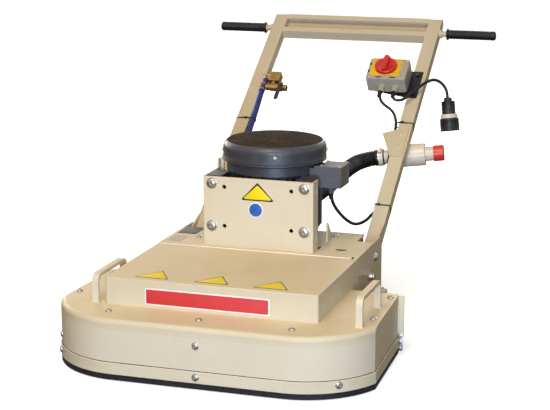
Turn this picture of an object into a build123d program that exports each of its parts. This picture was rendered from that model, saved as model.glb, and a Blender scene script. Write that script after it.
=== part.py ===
from build123d import *
import os
from math import asin, cos, degrees, pi, radians, sin, tan

os.makedirs("parts", exist_ok=True)

# Walk-behind electric floor grinder with two grinding discs. Millimetres.
# The floor is z = 0, the disc head points to -Y, the operator walks at +Y.

# ---- driving dimensions -------------------------------------------------------
overall_length = 1722.0
running_gap = 0.05          # radial, a shaft in its bore
clearance = 0.5             # between pieces that pass each other

head_width = 925.0          # at the creases where the front arcs meet the sides
head_rear_width = 895.0
head_shift = 7.5            # the head sits this far to the right of the cover
head_depth = 484.0
head_top = 176.0
head_front_r = 237.0
head_arc_inset = 220.0      # from each side to the centre of its front arc
head_rear_r = 12.0
plate_t = 5.0               # top plate of the head
roll_r = 14.0               # soft roll along the front of the top plate
lid_skirt = 30.0            # depth of the top plate's turned-down rim
shell_wall = 4.0
rear_flange_w = 18.0
rear_flange_t = 4.0
rear_flange_inset = 14.0
flange_gap = 1.5            # from the flange to the rim of the top plate
flange_w = 40.0             # inward flange under the rim
seam_z = 53.0
band_out = 3.0              # the lower band stands out from the shell
band_bottom = 20.0
band_wall = 7.0
skirt_bottom = 3.0
skirt_out = 2.0
skirt_tongue_t = 4.0
skirt_tongue_h = 22.0
bolt_head_r = 9.0
bolt_head_h = 5.0
bolt_shank_r = 4.0
bolt_shank_l = 9.0

cover_width = 626.0
cover_depth = 398.0
cover_setback = 137.0       # from the head front to the cover front
cover_top = 255.0
cover_wall = 3.0
cover_lip = 14.0
cover_corner_r = 8.0
cover_gap = 1.0             # seam between cover and deck

lift_bar_w = 19.0
lift_bar_t = 10.0
lift_bar_length = 205.0
lift_bar_rise = 84.0
lift_bar_bend_r = 24.0
lift_bar_setback = 133.0
lift_bar_left_gap = 28.0    # from the cover's side to the middle of the bar
lift_bar_right_gap = 115.0

chassis_length = 833.0      # from the head front to the chassis back
deck_t = 5.0
deck_lip = 12.0
side_t = 6.0
side_bottom = 62.0
side_corner_r = 14.0
inner_t = 4.0               # floor and end plates
inner_gap = 6.5             # from the handle tubes to the belt chamber
duct_w = 120.0
duct_h = 58.0
duct_x = 35.0
duct_z = 132.0
duct_wall = 2.5
elbow_bend_r = 46.0
elbow_reach = 24.0
elbow_top = 262.0

wheel_r = 85.0
wheel_w = 44.0
wheel_inset = 79.0          # from the inside of the side plate to the wheel's middle
tyre_t = 22.0
tyre_shoulder_r = 9.0
hub_boss_r = 24.0
hub_boss_w = 50.0
hub_web_t = 8.0
axle_r = 10.0
axle_inset = 30.0           # from the chassis back
axle_end = 12.0
collar_r = 16.0
collar_w = 6.0
axle_nut_r = 17.0
axle_nut_t = 13.0

bracket_width = 346.0
bracket_lead = 167.6        # the bracket stands this far ahead of the motor
bracket_height = 214.0
bracket_t = 6.0
bracket_right_return = 50.0
bracket_left_return = 150.0
bracket_step = 28.0         # the left return is taller at its rear
bracket_step_depth = 24.0
bracket_step_lip = 16.0
bracket_foot = 40.0
motor_bolt_x = 145.0
motor_bolt_low = 318.0
motor_bolt_high = 449.0
motor_bolt_head_r = 15.0
motor_bolt_head_h = 8.0
motor_bolt_r = 6.0
motor_bolt_l = 20.0
spare_hole_x = 105.0
spare_hole_r = 6.5

motor_inset = 110.0         # from the chassis back to the motor's axis
motor_r = 145.0
motor_core_r = 132.0
motor_wall = 8.0
fin_t = 3.5
fin_count = 40
motor_bottom = 262.0
motor_fins_low = 300.0
motor_fins_top = 472.0
end_bell_r = 147.0
cowl_r = 158.0
cowl_bottom = 504.0
cowl_height = 66.0
cowl_wall = 2.5
cowl_shoulder_r = 22.0
cowl_vent_rows = 4
shaft_r = 19.0
rotor_r = 78.0
rotor_low = 322.0
rotor_high = 440.0
air_gap = 0.8
fan_r = 118.0
fan_z = 516.0
fan_h = 26.0
fan_blades = 8
bearing_r = 40.0
bearing_w = 18.0

terminal_w = 98.0
terminal_d = 92.0
terminal_h = 58.0
terminal_x = 180.0
terminal_lead = 68.0        # from the motor's axis to the box front
terminal_z = 464.0
terminal_wall = 4.0
terminal_lid_t = 6.0
motor_gland_r = 12.0
motor_gland_l = 26.0
motor_gland_x = 186.0

belt_z = 214.0              # middle of the belt
belt_w = 24.0
belt_t = 8.0
belt_gap = 0.3
pulley_w = 32.0
pulley_flange = 5.0
pulley_flange_t = 3.0
motor_pulley_r = 45.0
motor_hub_r = 29.0
disc_pulley_r = 75.0
idler_r = 30.0
idler_x = -158.0
idler_from_front = 463.0
idler_post_r = 8.0

disc_x = 212.0              # spindles either side of the middle
disc_r = 200.0
disc_low = 30.0
disc_t = 12.0
coupling_r = 60.0
coupling_t = 18.0
spindle_r = 20.0
spindle_flange_r = 62.0
spindle_flange_t = 10.0
spindle_bearing_r = 36.0
spindle_bearing_w = 16.0
housing_r = 46.0
housing_low = 104.0
housing_high = 190.0
housing_flange_r = 66.0
housing_flange_t = 8.0
spindle_top = 236.0
shoe_count = 3
shoe_circle_r = 142.0
shoe_w = 96.0
shoe_l = 70.0
segment_h = 12.0
segment_w = 34.0
segment_l = 20.0

handle_lean = 34.8          # degrees up from the floor
pivot_inset = 83.0          # from the chassis back
pivot_z = 207.0
tube_below_pivot = 37.0     # the tube axis runs this far under the pivot
tube_w = 46.0
tube_d = 34.0
tube_wall = 3.0
tube_start = 30.0           # along the handle, from the pivot
tube_end_r = 14.0
pivot_bolt_r = 8.0
pivot_head_r = 14.0
pivot_head_h = 9.0
lock_radius = 90.8          # lock bolt from the pivot
lock_angle = 205.1          # degrees from +Y
lock_bolt_r = 6.0
lock_head_r = 12.0
tilt_up = 10.0
tilt_down = 6.0
foot_plate_t = 6.0
lever_l = 145.0
lever_rise = 14.0           # degrees, lever at rest

channel_h = 92.0
channel_lip = 23.0
channel_t = 4.0
channel_drop = 6.0          # below the tube ends

grip_drop = 65.0            # grip axis below the tube ends
grip_rod_r = 10.0
grip_collar_r = 15.0
grip_collar_w = 8.0
grip_start = 26.0
grip_r = 16.0
grip_length = 172.0
grip_end_wall = 6.0
grip_flange_r = 20.0

box_w = 136.0
box_h = 100.0
box_d = 46.0
box_in = 70.5               # from the inside of the right tube to the box middle
box_s = 792.0               # middle of the box along the handle
box_wall = 4.0
box_stand_off = 3.0         # bracket thickness plus washers
box_corner_r = 8.0
lid_t = 14.0
label_plate_w = 104.0
label_plate_h = 78.0
label_plate_t = 1.5
knob_in = 77.5
knob_s = 797.0
knob_r = 38.0
knob_t = 12.0
knob_bar_h = 15.0
knob_bar_w = 16.0
knob_shaft_r = 5.0
gland_r = 12.0
gland_l = 30.0
motor_lead_gland_in = 85.5
plug_lead_gland_in = 38.5
water_plate_in = 65.5        # the plate that carries the water tap
water_plate_half = 33.0
water_plate_slope = 50.0
water_plate_drop = 9.5
switch_bracket_t = 5.0

dust_in = 80.0              # from the right tube to the free end of the hose stub
dust_s = 509.2
dust_behind = 60.0          # tube axis behind the handle tube axis
dust_rise = 11.0            # degrees from square to the handle tubes
dust_stub_r = 23.0
dust_stub_l = 67.0
dust_tube_r = 38.0
dust_tube_l = 108.0
dust_nose_r = 24.0
dust_nose_l = 42.0
dust_wall = 2.0
dust_cap_r = 27.0
dust_cap_l = 34.0
dust_cap_over = 14.0
dust_hose_r = 27.0
dust_hose_over = 39.0
clamp_t = 1.5
clamp_screw_r = 5.0
clamp_w = 14.0
bracket_plate_t = 4.0
gusset_over = 39.5          # the gusset laps this far over the tube
gusset_in = 45.5            # and reaches this far inwards
gusset_high = 65.8          # above and below the end of the stub
gusset_low = 62.2
web_high = 50.8
web_low = 54.2

valve_s = 727.0
valve_in = 25.5             # from the inside of the left tube to the valve's end
valve_r = 13.0
valve_l = 74.0
valve_stem_r = 4.0
valve_lever_l = 78.0
water_hose_r = 10.0
water_elbow_in = 13.5
water_barb_r = 6.0
water_barb_l = 20.0
water_nut_t = 6.0
fit_gap = 0.1               # hose over its barb

lead_r = 5.0
gland_top_s = 730.0         # cables start inside the switch box wall

valve_block_in = 46.5
valve_block_s = 773.0
valve_block_w = 38.0
valve_block_h = 43.0
valve_block_d = 24.0
valve_stem_in = 80.5
valve_lever_t = 4.0
plate_bolt_r = 8.0
plate_bolt_h = 4.0

plug_r = 29.0
plug_boot_r = 14.0
plug_boot_l = 12.0
plug_body_r = 23.5
plug_body_l = 48.0
plug_ring_l = 14.0
plug_collar_r = 32.0
plug_collar_l = 44.0
plug_grip_over = 14.0
plug_pin_circle_r = 14.0
plug_pin_r = 3.0
plug_pin_l = 30.0

# ---- places worked out from them ----------------------------------------------------
head_front = -overall_length / 2 + band_out + bolt_head_h
head_back = head_front + head_depth
head_mid = head_front + head_depth / 2
shell_top = head_top - lid_skirt
plate_low = head_top - plate_t
cover_front = head_front + cover_setback
cover_back = cover_front + cover_depth
half_cover = cover_width / 2
deck_front = cover_back + cover_gap
deck_low = cover_top - deck_t
chassis_back = head_front + chassis_length
side_inner = half_cover - side_t
inner_half_width = side_inner - clearance - tube_w - inner_gap
wheel_x = side_inner - wheel_inset
axle_y = chassis_back - axle_inset
motor_y = chassis_back - motor_inset
bracket_y = motor_y - bracket_lead
terminal_low = terminal_z - terminal_h / 2
pivot_y = chassis_back - pivot_inset
spindle_xs = [-disc_x, disc_x]
arc_centres = [
    (head_shift + side * (head_width / 2 - head_arc_inset), head_front + head_front_r) for side in (-1, 1)]

lean = radians(handle_lean)
along = Vector(0, cos(lean), sin(lean))
outward = Vector(0, -sin(lean), cos(lean))
pivot = Vector(0, pivot_y, pivot_z)
across = Vector(1, 0, 0)
tube_n = -tube_below_pivot
tube_front = tube_n + tube_d / 2
tube_back = tube_n - tube_d / 2
tube_x = side_inner - clearance - tube_w / 2
tube_inner_x = tube_x - tube_w / 2
tube_outer_x = tube_x + tube_w / 2
box_x = tube_inner_x - box_in
knob_x = tube_inner_x - knob_in
motor_lead_gland_x = tube_inner_x - motor_lead_gland_in
plug_lead_gland_x = tube_inner_x - plug_lead_gland_in
dust_x = tube_inner_x - dust_in
valve_x = -tube_inner_x + valve_in
water_elbow_x = -tube_inner_x + water_elbow_in
valve_block_x = -tube_inner_x + valve_block_in
valve_stem_x = -tube_inner_x + valve_stem_in
tube_end = (overall_length / 2 - pivot_y + tube_back * sin(lean)) / cos(lean)


def handle_point(x, s, n):
    """A point on the handle: across, along the tubes, out of their front."""
    return pivot + across * x + along * s + outward * n


def handle_face(n):
    return Plane(origin=handle_point(0, 0, n), x_dir=(1, 0, 0), z_dir=outward)


def handle_side(x):
    return Plane(origin=handle_point(x, 0, 0), x_dir=along, z_dir=(1, 0, 0))


def handle_end(s):
    return Plane(origin=handle_point(0, s, 0), x_dir=(1, 0, 0), z_dir=along)


def write(piece, name):
    piece.part.label = name
    export_step(piece.part, f"parts/{name}.step")


def head_outline(grow):
    """Plan of the head: straight front, wide arcs up to a crease, sides that taper to the rear."""
    radius = head_front_r + grow
    sweep_angle = degrees(asin((head_arc_inset + grow) / radius))
    left, right = arc_centres
    with BuildSketch(Plane.XY, mode=Mode.PRIVATE) as plan:
        with BuildLine():
            left_arc = CenterArc(left, radius, -90 - sweep_angle, sweep_angle)
            right_arc = CenterArc(right, radius, -90, sweep_angle)
            Line(left_arc @ 1, right_arc @ 0)
            Polyline(
                right_arc @ 1,
                (head_shift + head_rear_width / 2 + grow, head_back + grow),
                (head_shift - head_rear_width / 2 - grow, head_back + grow),
                left_arc @ 0)
        make_face()
        fillet(plan.vertices().group_by(Axis.Y)[-1], head_rear_r + max(grow, 0))
    return plan.sketch


def domed_bolt(head_r, head_h, shank_r, shank_l):
    """Seat at z = 0, head above it, shank below."""
    with BuildPart(mode=Mode.PRIVATE) as bolt:
        with BuildSketch(Plane.XZ):
            with BuildLine():
                Line((0, head_h), (head_r * 0.4, head_h))
                RadiusArc((head_r * 0.4, head_h), (head_r, 0), head_r * 1.3)
                Polyline((head_r, 0), (shank_r, 0), (shank_r, -shank_l), (0, -shank_l), (0, head_h))
            make_face()
        revolve(axis=Axis.Z)
    return bolt.part


def corner_point(side, angle, grow, z):
    """A point on a front arc of the head, angle in degrees from straight ahead."""
    a = radians(angle)
    centre_x, centre_y = arc_centres[0] if side < 0 else arc_centres[1]
    x = centre_x + side * (head_front_r + grow) * sin(a)
    y = centre_y - (head_front_r + grow) * cos(a)
    return Plane(origin=(x, y, z), z_dir=(side * sin(a), -cos(a), 0))


def round_pulley(radius, bore, hub_r, z_mid, width):
    """A flanged belt pulley about Z, drawn at x = y = 0."""
    low = z_mid - width / 2
    with BuildPart(mode=Mode.PRIVATE) as pulley:
        with BuildSketch(Plane.XY.offset(low)):
            Circle(radius)
        extrude(amount=width)
        for z in (low, low + width - pulley_flange_t):
            with BuildSketch(Plane.XY.offset(z)):
                Circle(radius + pulley_flange)
            extrude(amount=pulley_flange_t)
        for z, way in ((low, 1), (low + width, -1)):
            with BuildSketch(Plane.XY.offset(z)):
                Circle(radius - 8)
                Circle(hub_r, mode=Mode.SUBTRACT)
            extrude(amount=way * (width / 2 - 5), mode=Mode.SUBTRACT)
        with BuildSketch(Plane.XY.offset(low)):
            Circle(bore)
        extrude(amount=width, mode=Mode.SUBTRACT)
    return pulley.part


def bearing_ring(bore, outer, z_low, width):
    with BuildPart(mode=Mode.PRIVATE) as bearing:
        with BuildSketch(Plane.XY.offset(z_low)):
            Circle(outer)
            Circle(bore, mode=Mode.SUBTRACT)
        extrude(amount=width)
        for z, way in ((z_low, 1), (z_low + width, -1)):
            with BuildSketch(Plane.XY.offset(z)):
                Circle(outer - 4)
                Circle(bore + 5, mode=Mode.SUBTRACT)
            extrude(amount=way * 1.5, mode=Mode.SUBTRACT)
    return bearing.part


def fillet_path(points, share=0.45):
    """Straight runs joined by arcs as large as each corner's shorter run allows."""
    pts = [Vector(p) for p in points]
    radii = []
    for a, b, c in zip(pts, pts[1:], pts[2:]):
        turn = radians((b - a).get_angle(c - b))
        radii.append(share * min((b - a).length, (c - b).length) / tan(turn / 2))
    return pts, radii


def tube_along(name, points, outer, bore=0.0):
    pts, radii = fillet_path(points)
    with BuildPart() as tube:
        with BuildLine() as route:
            FilletPolyline(*pts, radius=radii)
        start = Plane(origin=route.line @ 0, z_dir=route.line % 0)
        with BuildSketch(start):
            Circle(outer)
            if bore:
                Circle(bore, mode=Mode.SUBTRACT)
        sweep(path=route.line)
    length = sum(edge.length for edge in route.edges())
    section = pi * (outer**2 - bore**2)
    print(f"{name}: length {length:.0f}, volume / (section x length) "
          f"{tube.part.volume / (section * length):.4f}, radii {[round(r) for r in radii]}")
    write(tube, name)
    return tube


# ---- head ---------------------------------------------------------------------------
top_bolt_points = [
    (-436, head_front + 232), (-274, head_front + 72), (-5, head_front + 66), (262, head_front + 63),
    (444, head_front + 226), (440, head_front + 440), (-424, head_front + 440),
]
front_bolt_z = 125.0
band_bolt_z = 37.0
side_bolts = [
    Plane(origin=(10, head_front, front_bolt_z), z_dir=(0, -1, 0)),
    corner_point(-1, 58, 0, 82),
]
band_bolts = [
    Plane(origin=(10, head_front - band_out, band_bolt_z), z_dir=(0, -1, 0)),
    corner_point(1, 38, band_out, band_bolt_z + 4),
    corner_point(-1, 58, band_out, band_bolt_z),
]

with BuildPart() as head_shell:
    with BuildSketch(Plane.XY.offset(seam_z)):
        add(head_outline(0))
        add(head_outline(-shell_wall), mode=Mode.SUBTRACT)
    extrude(amount=shell_top - seam_z)
    with BuildSketch(Plane.XY.offset(shell_top - shell_wall)):
        add(head_outline(-shell_wall / 2))
        add(head_outline(-flange_w), mode=Mode.SUBTRACT)
    extrude(amount=shell_wall)
    with BuildSketch(Plane.XZ.offset(-head_back - 1)):
        with Locations((duct_x, duct_z)):
            Rectangle(duct_w + 2 * clearance, duct_h + 2 * clearance)
    extrude(amount=flange_w + 2, mode=Mode.SUBTRACT)
    for seat in side_bolts:
        with Locations(seat):
            Hole(bolt_shank_r + running_gap, depth=2 * shell_wall)
    # upright flanges that stand out at the rear of each side
    for side in (-1, 1):
        root_x = head_shift + side * head_rear_width / 2
        reach = rear_flange_w + shell_wall / 2
        with BuildSketch(Plane.XZ.offset(-head_back + rear_flange_inset)):
            with Locations((root_x + side * (reach - shell_wall) / 2, (seam_z + shell_top) / 2)):
                Rectangle(reach, shell_top - seam_z)
            with Locations((root_x + side * (rear_flange_w + flange_gap) / 2, (shell_top + head_top) / 2)):
                Rectangle(rear_flange_w - flange_gap, head_top - shell_top)
        extrude(amount=rear_flange_t)
write(head_shell, "head_shell")


def head_lid(grow, top, roll):
    """A block of the head's plan with its front edge rolled, from the shell up."""
    radius = head_front_r + grow
    left, right = arc_centres
    with BuildPart(mode=Mode.PRIVATE) as block:
        # the roll runs on round both corners, then the sides cut across it
        with BuildSketch(Plane.XY.offset(shell_top)):
            with BuildLine():
                left_arc = CenterArc(left, radius, 180, 90)
                right_arc = CenterArc(right, radius, -90, 90)
                Line(left_arc @ 1, right_arc @ 0)
                Polyline(
                    right_arc @ 1, (right[0] + radius, head_back + roll_r),
                    (left[0] - radius, head_back + roll_r), left_arc @ 0)
            make_face()
        extrude(amount=top - shell_top)
        fillet(block.faces().sort_by(Axis.Z)[-1].edges().group_by(Axis.Y)[0], roll)
        with BuildSketch(Plane.XY.offset(shell_top)):
            add(head_outline(grow))
        extrude(amount=top - shell_top, mode=Mode.INTERSECT)
    return block.part


with BuildPart() as head_top_plate:
    add(head_lid(0, head_top, roll_r))
    add(head_lid(-plate_t, plate_low, roll_r - plate_t), mode=Mode.SUBTRACT)
    with BuildSketch(Plane.XZ.offset(-head_back - 1)):
        with Locations((duct_x, duct_z)):
            Rectangle(duct_w + 2 * clearance, duct_h + 2 * clearance)
    extrude(amount=plate_t + 2, mode=Mode.SUBTRACT)
    with BuildSketch(Plane.XY.offset(plate_low)):
        with Locations(*[(x, head_mid) for x in spindle_xs]):
            Circle(housing_r + clearance)
        with Locations(*top_bolt_points):
            Circle(bolt_shank_r + running_gap)
    extrude(amount=plate_t, mode=Mode.SUBTRACT)
write(head_top_plate, "head_top_plate")

with BuildPart() as lower_band:
    with BuildSketch(Plane.XY.offset(band_bottom)):
        add(head_outline(band_out))
        add(head_outline(band_out - band_wall), mode=Mode.SUBTRACT)
    extrude(amount=seam_z - band_bottom)
    fillet(lower_band.faces().sort_by(Axis.Z)[-1].outer_wire().edges(), band_out - 0.5)
    for seat in band_bolts:
        with Locations(seat):
            Hole(bolt_shank_r + running_gap, depth=2 * band_wall)
write(lower_band, "lower_band")

with BuildPart() as rubber_skirt:
    tongue_out = band_out - band_wall
    with BuildSketch(Plane.XY.offset(skirt_bottom)):
        add(head_outline(skirt_out))
        add(head_outline(tongue_out - skirt_tongue_t), mode=Mode.SUBTRACT)
    extrude(amount=band_bottom - skirt_bottom)
    with BuildSketch(Plane.XY.offset(band_bottom)):
        add(head_outline(tongue_out))
        add(head_outline(tongue_out - skirt_tongue_t), mode=Mode.SUBTRACT)
    extrude(amount=skirt_tongue_h)
    for seat in band_bolts:
        with Locations(seat):
            Hole(bolt_shank_r + running_gap, depth=2 * (band_wall + skirt_tongue_t))
write(rubber_skirt, "rubber_skirt")

# ---- belt cover ---------------------------------------------------------------------
with BuildPart() as belt_cover:
    with BuildSketch(Plane.XY.offset(head_top)):
        with Locations((0, cover_front + cover_depth / 2)):
            Rectangle(cover_width, cover_depth)
    extrude(amount=cover_top - head_top)
    fillet(belt_cover.edges().filter_by(Axis.Z).group_by(Axis.Y)[0], cover_corner_r)
    top_rim = belt_cover.faces().sort_by(Axis.Z)[-1].outer_wire().edges()
    fillet(top_rim.sort_by(Axis.Y)[:-1], cover_wall)
    with BuildSketch(Plane.XY.offset(head_top)):
        with Locations((0, cover_front + cover_wall + cover_depth / 2)):
            Rectangle(cover_width - 2 * cover_wall, cover_depth)
    extrude(amount=cover_top - cover_wall - head_top, mode=Mode.SUBTRACT)
    with BuildSketch(Plane.XZ.offset(-cover_back)):
        with Locations((0, cover_top - cover_wall - cover_lip / 2)):
            Rectangle(cover_width - 2 * cover_wall, cover_lip)
    extrude(amount=cover_wall)
write(belt_cover, "belt_cover")

# ---- lift bars: flat bars bent into low staples on the head --------------------------
lift_front = head_front + lift_bar_setback
with BuildPart() as lift_bars:
    for x in (-half_cover - lift_bar_left_gap, half_cover + lift_bar_right_gap):
        with BuildSketch(Plane.YZ.offset(x - lift_bar_w / 2)):
            with Locations((lift_front + lift_bar_length / 2, head_top + lift_bar_rise / 2)):
                Rectangle(lift_bar_length, lift_bar_rise)
            inner_length = lift_bar_length - 2 * lift_bar_t
            with Locations((lift_front + lift_bar_length / 2, head_top + (lift_bar_rise - lift_bar_t) / 2)):
                Rectangle(inner_length, lift_bar_rise - lift_bar_t, mode=Mode.SUBTRACT)
        extrude(amount=lift_bar_w)
    crown = lift_bars.edges().filter_by(Axis.X).group_by(Axis.Z)
    fillet(crown[-1], lift_bar_bend_r)
    fillet(lift_bars.edges().filter_by(Axis.X).filter_by(
        lambda e: abs(e.center().Z - (head_top + lift_bar_rise - lift_bar_t)) < 0.1),
        lift_bar_bend_r - lift_bar_t)
write(lift_bars, "lift_bars")

# ---- chassis --------------------------------------------------------------------------
small_hole_r = 4.0

with BuildPart() as chassis_sides:
    for x in (-half_cover, side_inner):
        with BuildSketch(Plane.YZ.offset(x)):
            with BuildLine():
                Polyline(
                    (head_back, side_bottom), (chassis_back, side_bottom), (chassis_back, cover_top),
                    (deck_front, cover_top), (deck_front, head_top), (head_back, head_top), close=True)
            make_face()
            with Locations((pivot_y, pivot_z)):
                Circle(pivot_bolt_r + running_gap, mode=Mode.SUBTRACT)
            with Locations((axle_y, wheel_r)):
                Circle(axle_r + running_gap, mode=Mode.SUBTRACT)
            with Locations((deck_front + 9, head_top + 14)):
                Circle(small_hole_r, mode=Mode.SUBTRACT)
            with BuildLine(mode=Mode.PRIVATE) as slot_line:
                CenterArc((pivot_y, pivot_z), lock_radius, lock_angle - tilt_down, tilt_up + tilt_down)
            SlotArc(slot_line.edge(), 2 * (lock_bolt_r + clearance), mode=Mode.SUBTRACT)
        extrude(amount=side_t)
    fillet(chassis_sides.edges().filter_by(Axis.X).filter_by(
        lambda e: abs(e.center().Y - chassis_back) < 0.1 and e.length > side_t / 2), side_corner_r)
write(chassis_sides, "chassis_sides")

notch_w = side_inner - tube_inner_x + 3
notch_l = 92.0
deck_slot_w = 9.0
deck_slot_l = 34.0
shaft_hole_r = 30.0
deck_bolt_points = [(178, bracket_y + 68), (178, bracket_y + 232), (-222, bracket_y + 90)]
with BuildPart() as chassis_deck:
    with BuildSketch(Plane.XY.offset(deck_low)):
        with Locations((0, (deck_front + chassis_back) / 2)):
            Rectangle(2 * side_inner, chassis_back - deck_front)
        with Locations(*[(s * (side_inner - notch_w / 2), chassis_back - notch_l / 2) for s in (-1, 1)]):
            Rectangle(notch_w, notch_l, mode=Mode.SUBTRACT)
        with Locations((0, motor_y)):
            Circle(shaft_hole_r, mode=Mode.SUBTRACT)
        with Locations(*deck_bolt_points):
            Circle(bolt_shank_r + running_gap, mode=Mode.SUBTRACT)
        with Locations((242, bracket_y + 62)):
            SlotOverall(deck_slot_l, deck_slot_w, rotation=40, mode=Mode.SUBTRACT)
    extrude(amount=deck_t)
    with BuildSketch(Plane.XY.offset(deck_low - deck_lip)):
        with Locations((0, deck_front + inner_t / 2)):
            Rectangle(2 * side_inner, inner_t)
    extrude(amount=deck_lip)
write(chassis_deck, "chassis_deck")

tail_half_width = 120.0
tail_bottom = 96.0
water_port_x = -150.0
water_port_z = 222.0
with BuildPart() as chassis_inner:
    # floor of the belt chamber
    with BuildSketch(Plane.XY.offset(head_top - inner_t)):
        with Locations((0, (head_back + chassis_back - inner_t) / 2)):
            Rectangle(2 * inner_half_width, chassis_back - inner_t - head_back)
    extrude(amount=inner_t)
    # front plate against the rear wall of the head
    with BuildSketch(Plane.XZ.offset(-head_back - inner_t)):
        with Locations((0, (side_bottom + head_top - inner_t) / 2)):
            Rectangle(2 * side_inner, head_top - inner_t - side_bottom)
        with Locations((duct_x, duct_z)):
            Rectangle(duct_w + 2 * clearance, duct_h + 2 * clearance, mode=Mode.SUBTRACT)
    extrude(amount=inner_t)
    # rear plate with its tail round the duct
    with BuildSketch(Plane.XZ.offset(-chassis_back)):
        with Locations((0, (head_top - inner_t + deck_low) / 2)):
            Rectangle(2 * inner_half_width, deck_low - head_top + inner_t)
        with Locations((0, (tail_bottom + head_top - inner_t) / 2)):
            Rectangle(2 * tail_half_width, head_top - inner_t - tail_bottom)
        with Locations((duct_x, duct_z)):
            Rectangle(duct_w + 2 * clearance, duct_h + 2 * clearance, mode=Mode.SUBTRACT)
    extrude(amount=inner_t)
    # barb for the water hose
    water_port = Plane(origin=(water_port_x, chassis_back, water_port_z), z_dir=(0, 1, 0))
    with BuildSketch(water_port):
        RegularPolygon(water_hose_r + 2, 6)
    extrude(amount=water_nut_t)
    with BuildSketch(water_port):
        Circle(water_barb_r)
    extrude(amount=water_nut_t + water_barb_l)
write(chassis_inner, "chassis_inner")

# ---- dust duct under the chassis and its elbow ----------------------------------------
duct_front = head_back - shell_wall
duct_back = chassis_back + 2
elbow_flange_t = 4.0
elbow_y = duct_back + elbow_flange_t
with BuildPart() as dust_duct:
    with BuildSketch(Plane.XZ.offset(-duct_back)):
        with Locations((duct_x, duct_z)):
            Rectangle(duct_w, duct_h)
            Rectangle(duct_w - 2 * duct_wall, duct_h - 2 * duct_wall, mode=Mode.SUBTRACT)
    extrude(amount=duct_back - duct_front)
    with BuildSketch(Plane.XZ.offset(-elbow_y)):
        with Locations((duct_x, duct_z)):
            Rectangle(duct_w, duct_h)
            Circle(dust_stub_r - dust_wall, mode=Mode.SUBTRACT)
    extrude(amount=elbow_flange_t)
    elbow_axis_y = elbow_y + elbow_reach + elbow_bend_r
    with BuildLine() as elbow_route:
        FilletPolyline(
            (duct_x, elbow_y, duct_z), (duct_x, elbow_axis_y, duct_z), (duct_x, elbow_axis_y, elbow_top),
            radius=elbow_bend_r)
    with BuildSketch(Plane(origin=(duct_x, elbow_y, duct_z), z_dir=(0, 1, 0))):
        Circle(dust_stub_r)
        Circle(dust_stub_r - dust_wall, mode=Mode.SUBTRACT)
    sweep(path=elbow_route.line)
write(dust_duct, "dust_duct")

# ---- axle and wheels -------------------------------------------------------------------
axle_half = half_cover + axle_nut_t + axle_end
with BuildPart() as axle:
    with BuildSketch(Plane.YZ.offset(-axle_half)):
        with Locations((axle_y, wheel_r)):
            Circle(axle_r)
    extrude(amount=2 * axle_half)
    chamfer(axle.edges().filter_by(GeomType.CIRCLE), 2)
write(axle, "axle")

with BuildPart() as frame_fasteners:
    # axle nuts outside the side plates
    for x in (-half_cover - axle_nut_t, half_cover):
        with BuildSketch(Plane.YZ.offset(x)):
            with Locations((axle_y, wheel_r)):
                RegularPolygon(axle_nut_r, 6)
                Circle(axle_r + running_gap, mode=Mode.SUBTRACT)
        extrude(amount=axle_nut_t)
    # collars either side of each wheel boss
    for side in (-1, 1):
        for reach in (-hub_boss_w / 2 - clearance - collar_w, hub_boss_w / 2 + clearance):
            with BuildSketch(Plane.YZ.offset(side * wheel_x + reach)):
                with Locations((axle_y, wheel_r)):
                    Circle(collar_r)
                    Circle(axle_r + running_gap, mode=Mode.SUBTRACT)
            extrude(amount=collar_w)
    # handle pivot bolts, one each side
    for side in (-1, 1):
        seat = Plane(origin=(side * half_cover, pivot_y, pivot_z), z_dir=(side, 0, 0))
        with Locations(seat):
            add(domed_bolt(pivot_head_r, pivot_head_h, pivot_bolt_r, side_t + clearance + foot_plate_t + 6))
write(frame_fasteners, "frame_fasteners")

rim_r = wheel_r - tyre_t
for side, word in ((-1, "left"), (1, "right")):
    with BuildPart() as tyre:
        with BuildSketch(Plane.XY) as tyre_section:
            with Locations((rim_r + tyre_t / 2, 0)):
                Rectangle(tyre_t, wheel_w)
            fillet(tyre_section.vertices().group_by(Axis.X)[-1], tyre_shoulder_r)
        revolve(axis=Axis.Y)
    with BuildPart() as placed_tyre:
        with Locations(Plane(origin=(side * wheel_x, axle_y, wheel_r), x_dir=(0, 1, 0), z_dir=(0, 0, 1))):
            add(tyre.part)
    write(placed_tyre, f"tyre_{word}")

    with BuildPart() as hub:
        with BuildSketch(Plane.XY):
            with BuildLine():
                Polyline(
                    (axle_r + running_gap, hub_boss_w / 2), (hub_boss_r, hub_boss_w / 2),
                    (hub_boss_r, hub_web_t / 2), (rim_r - 8, hub_web_t / 2), (rim_r - 8, wheel_w / 2 - 2),
                    (rim_r, wheel_w / 2 - 2), (rim_r, -wheel_w / 2 + 2), (rim_r - 8, -wheel_w / 2 + 2),
                    (rim_r - 8, -hub_web_t / 2), (hub_boss_r, -hub_web_t / 2),
                    (hub_boss_r, -hub_boss_w / 2), (axle_r + running_gap, -hub_boss_w / 2), close=True)
            make_face()
        revolve(axis=Axis.Y)
        with BuildSketch(Plane.XZ.offset(-hub_web_t)):
            with PolarLocations((hub_boss_r + rim_r - 8) / 2, 5):
                Circle(7)
        extrude(amount=2 * hub_web_t, mode=Mode.SUBTRACT)
    with BuildPart() as placed_hub:
        with Locations(Plane(origin=(side * wheel_x, axle_y, wheel_r), x_dir=(0, 1, 0), z_dir=(0, 0, 1))):
            add(hub.part)
    write(placed_hub, f"wheel_hub_{word}")

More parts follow.
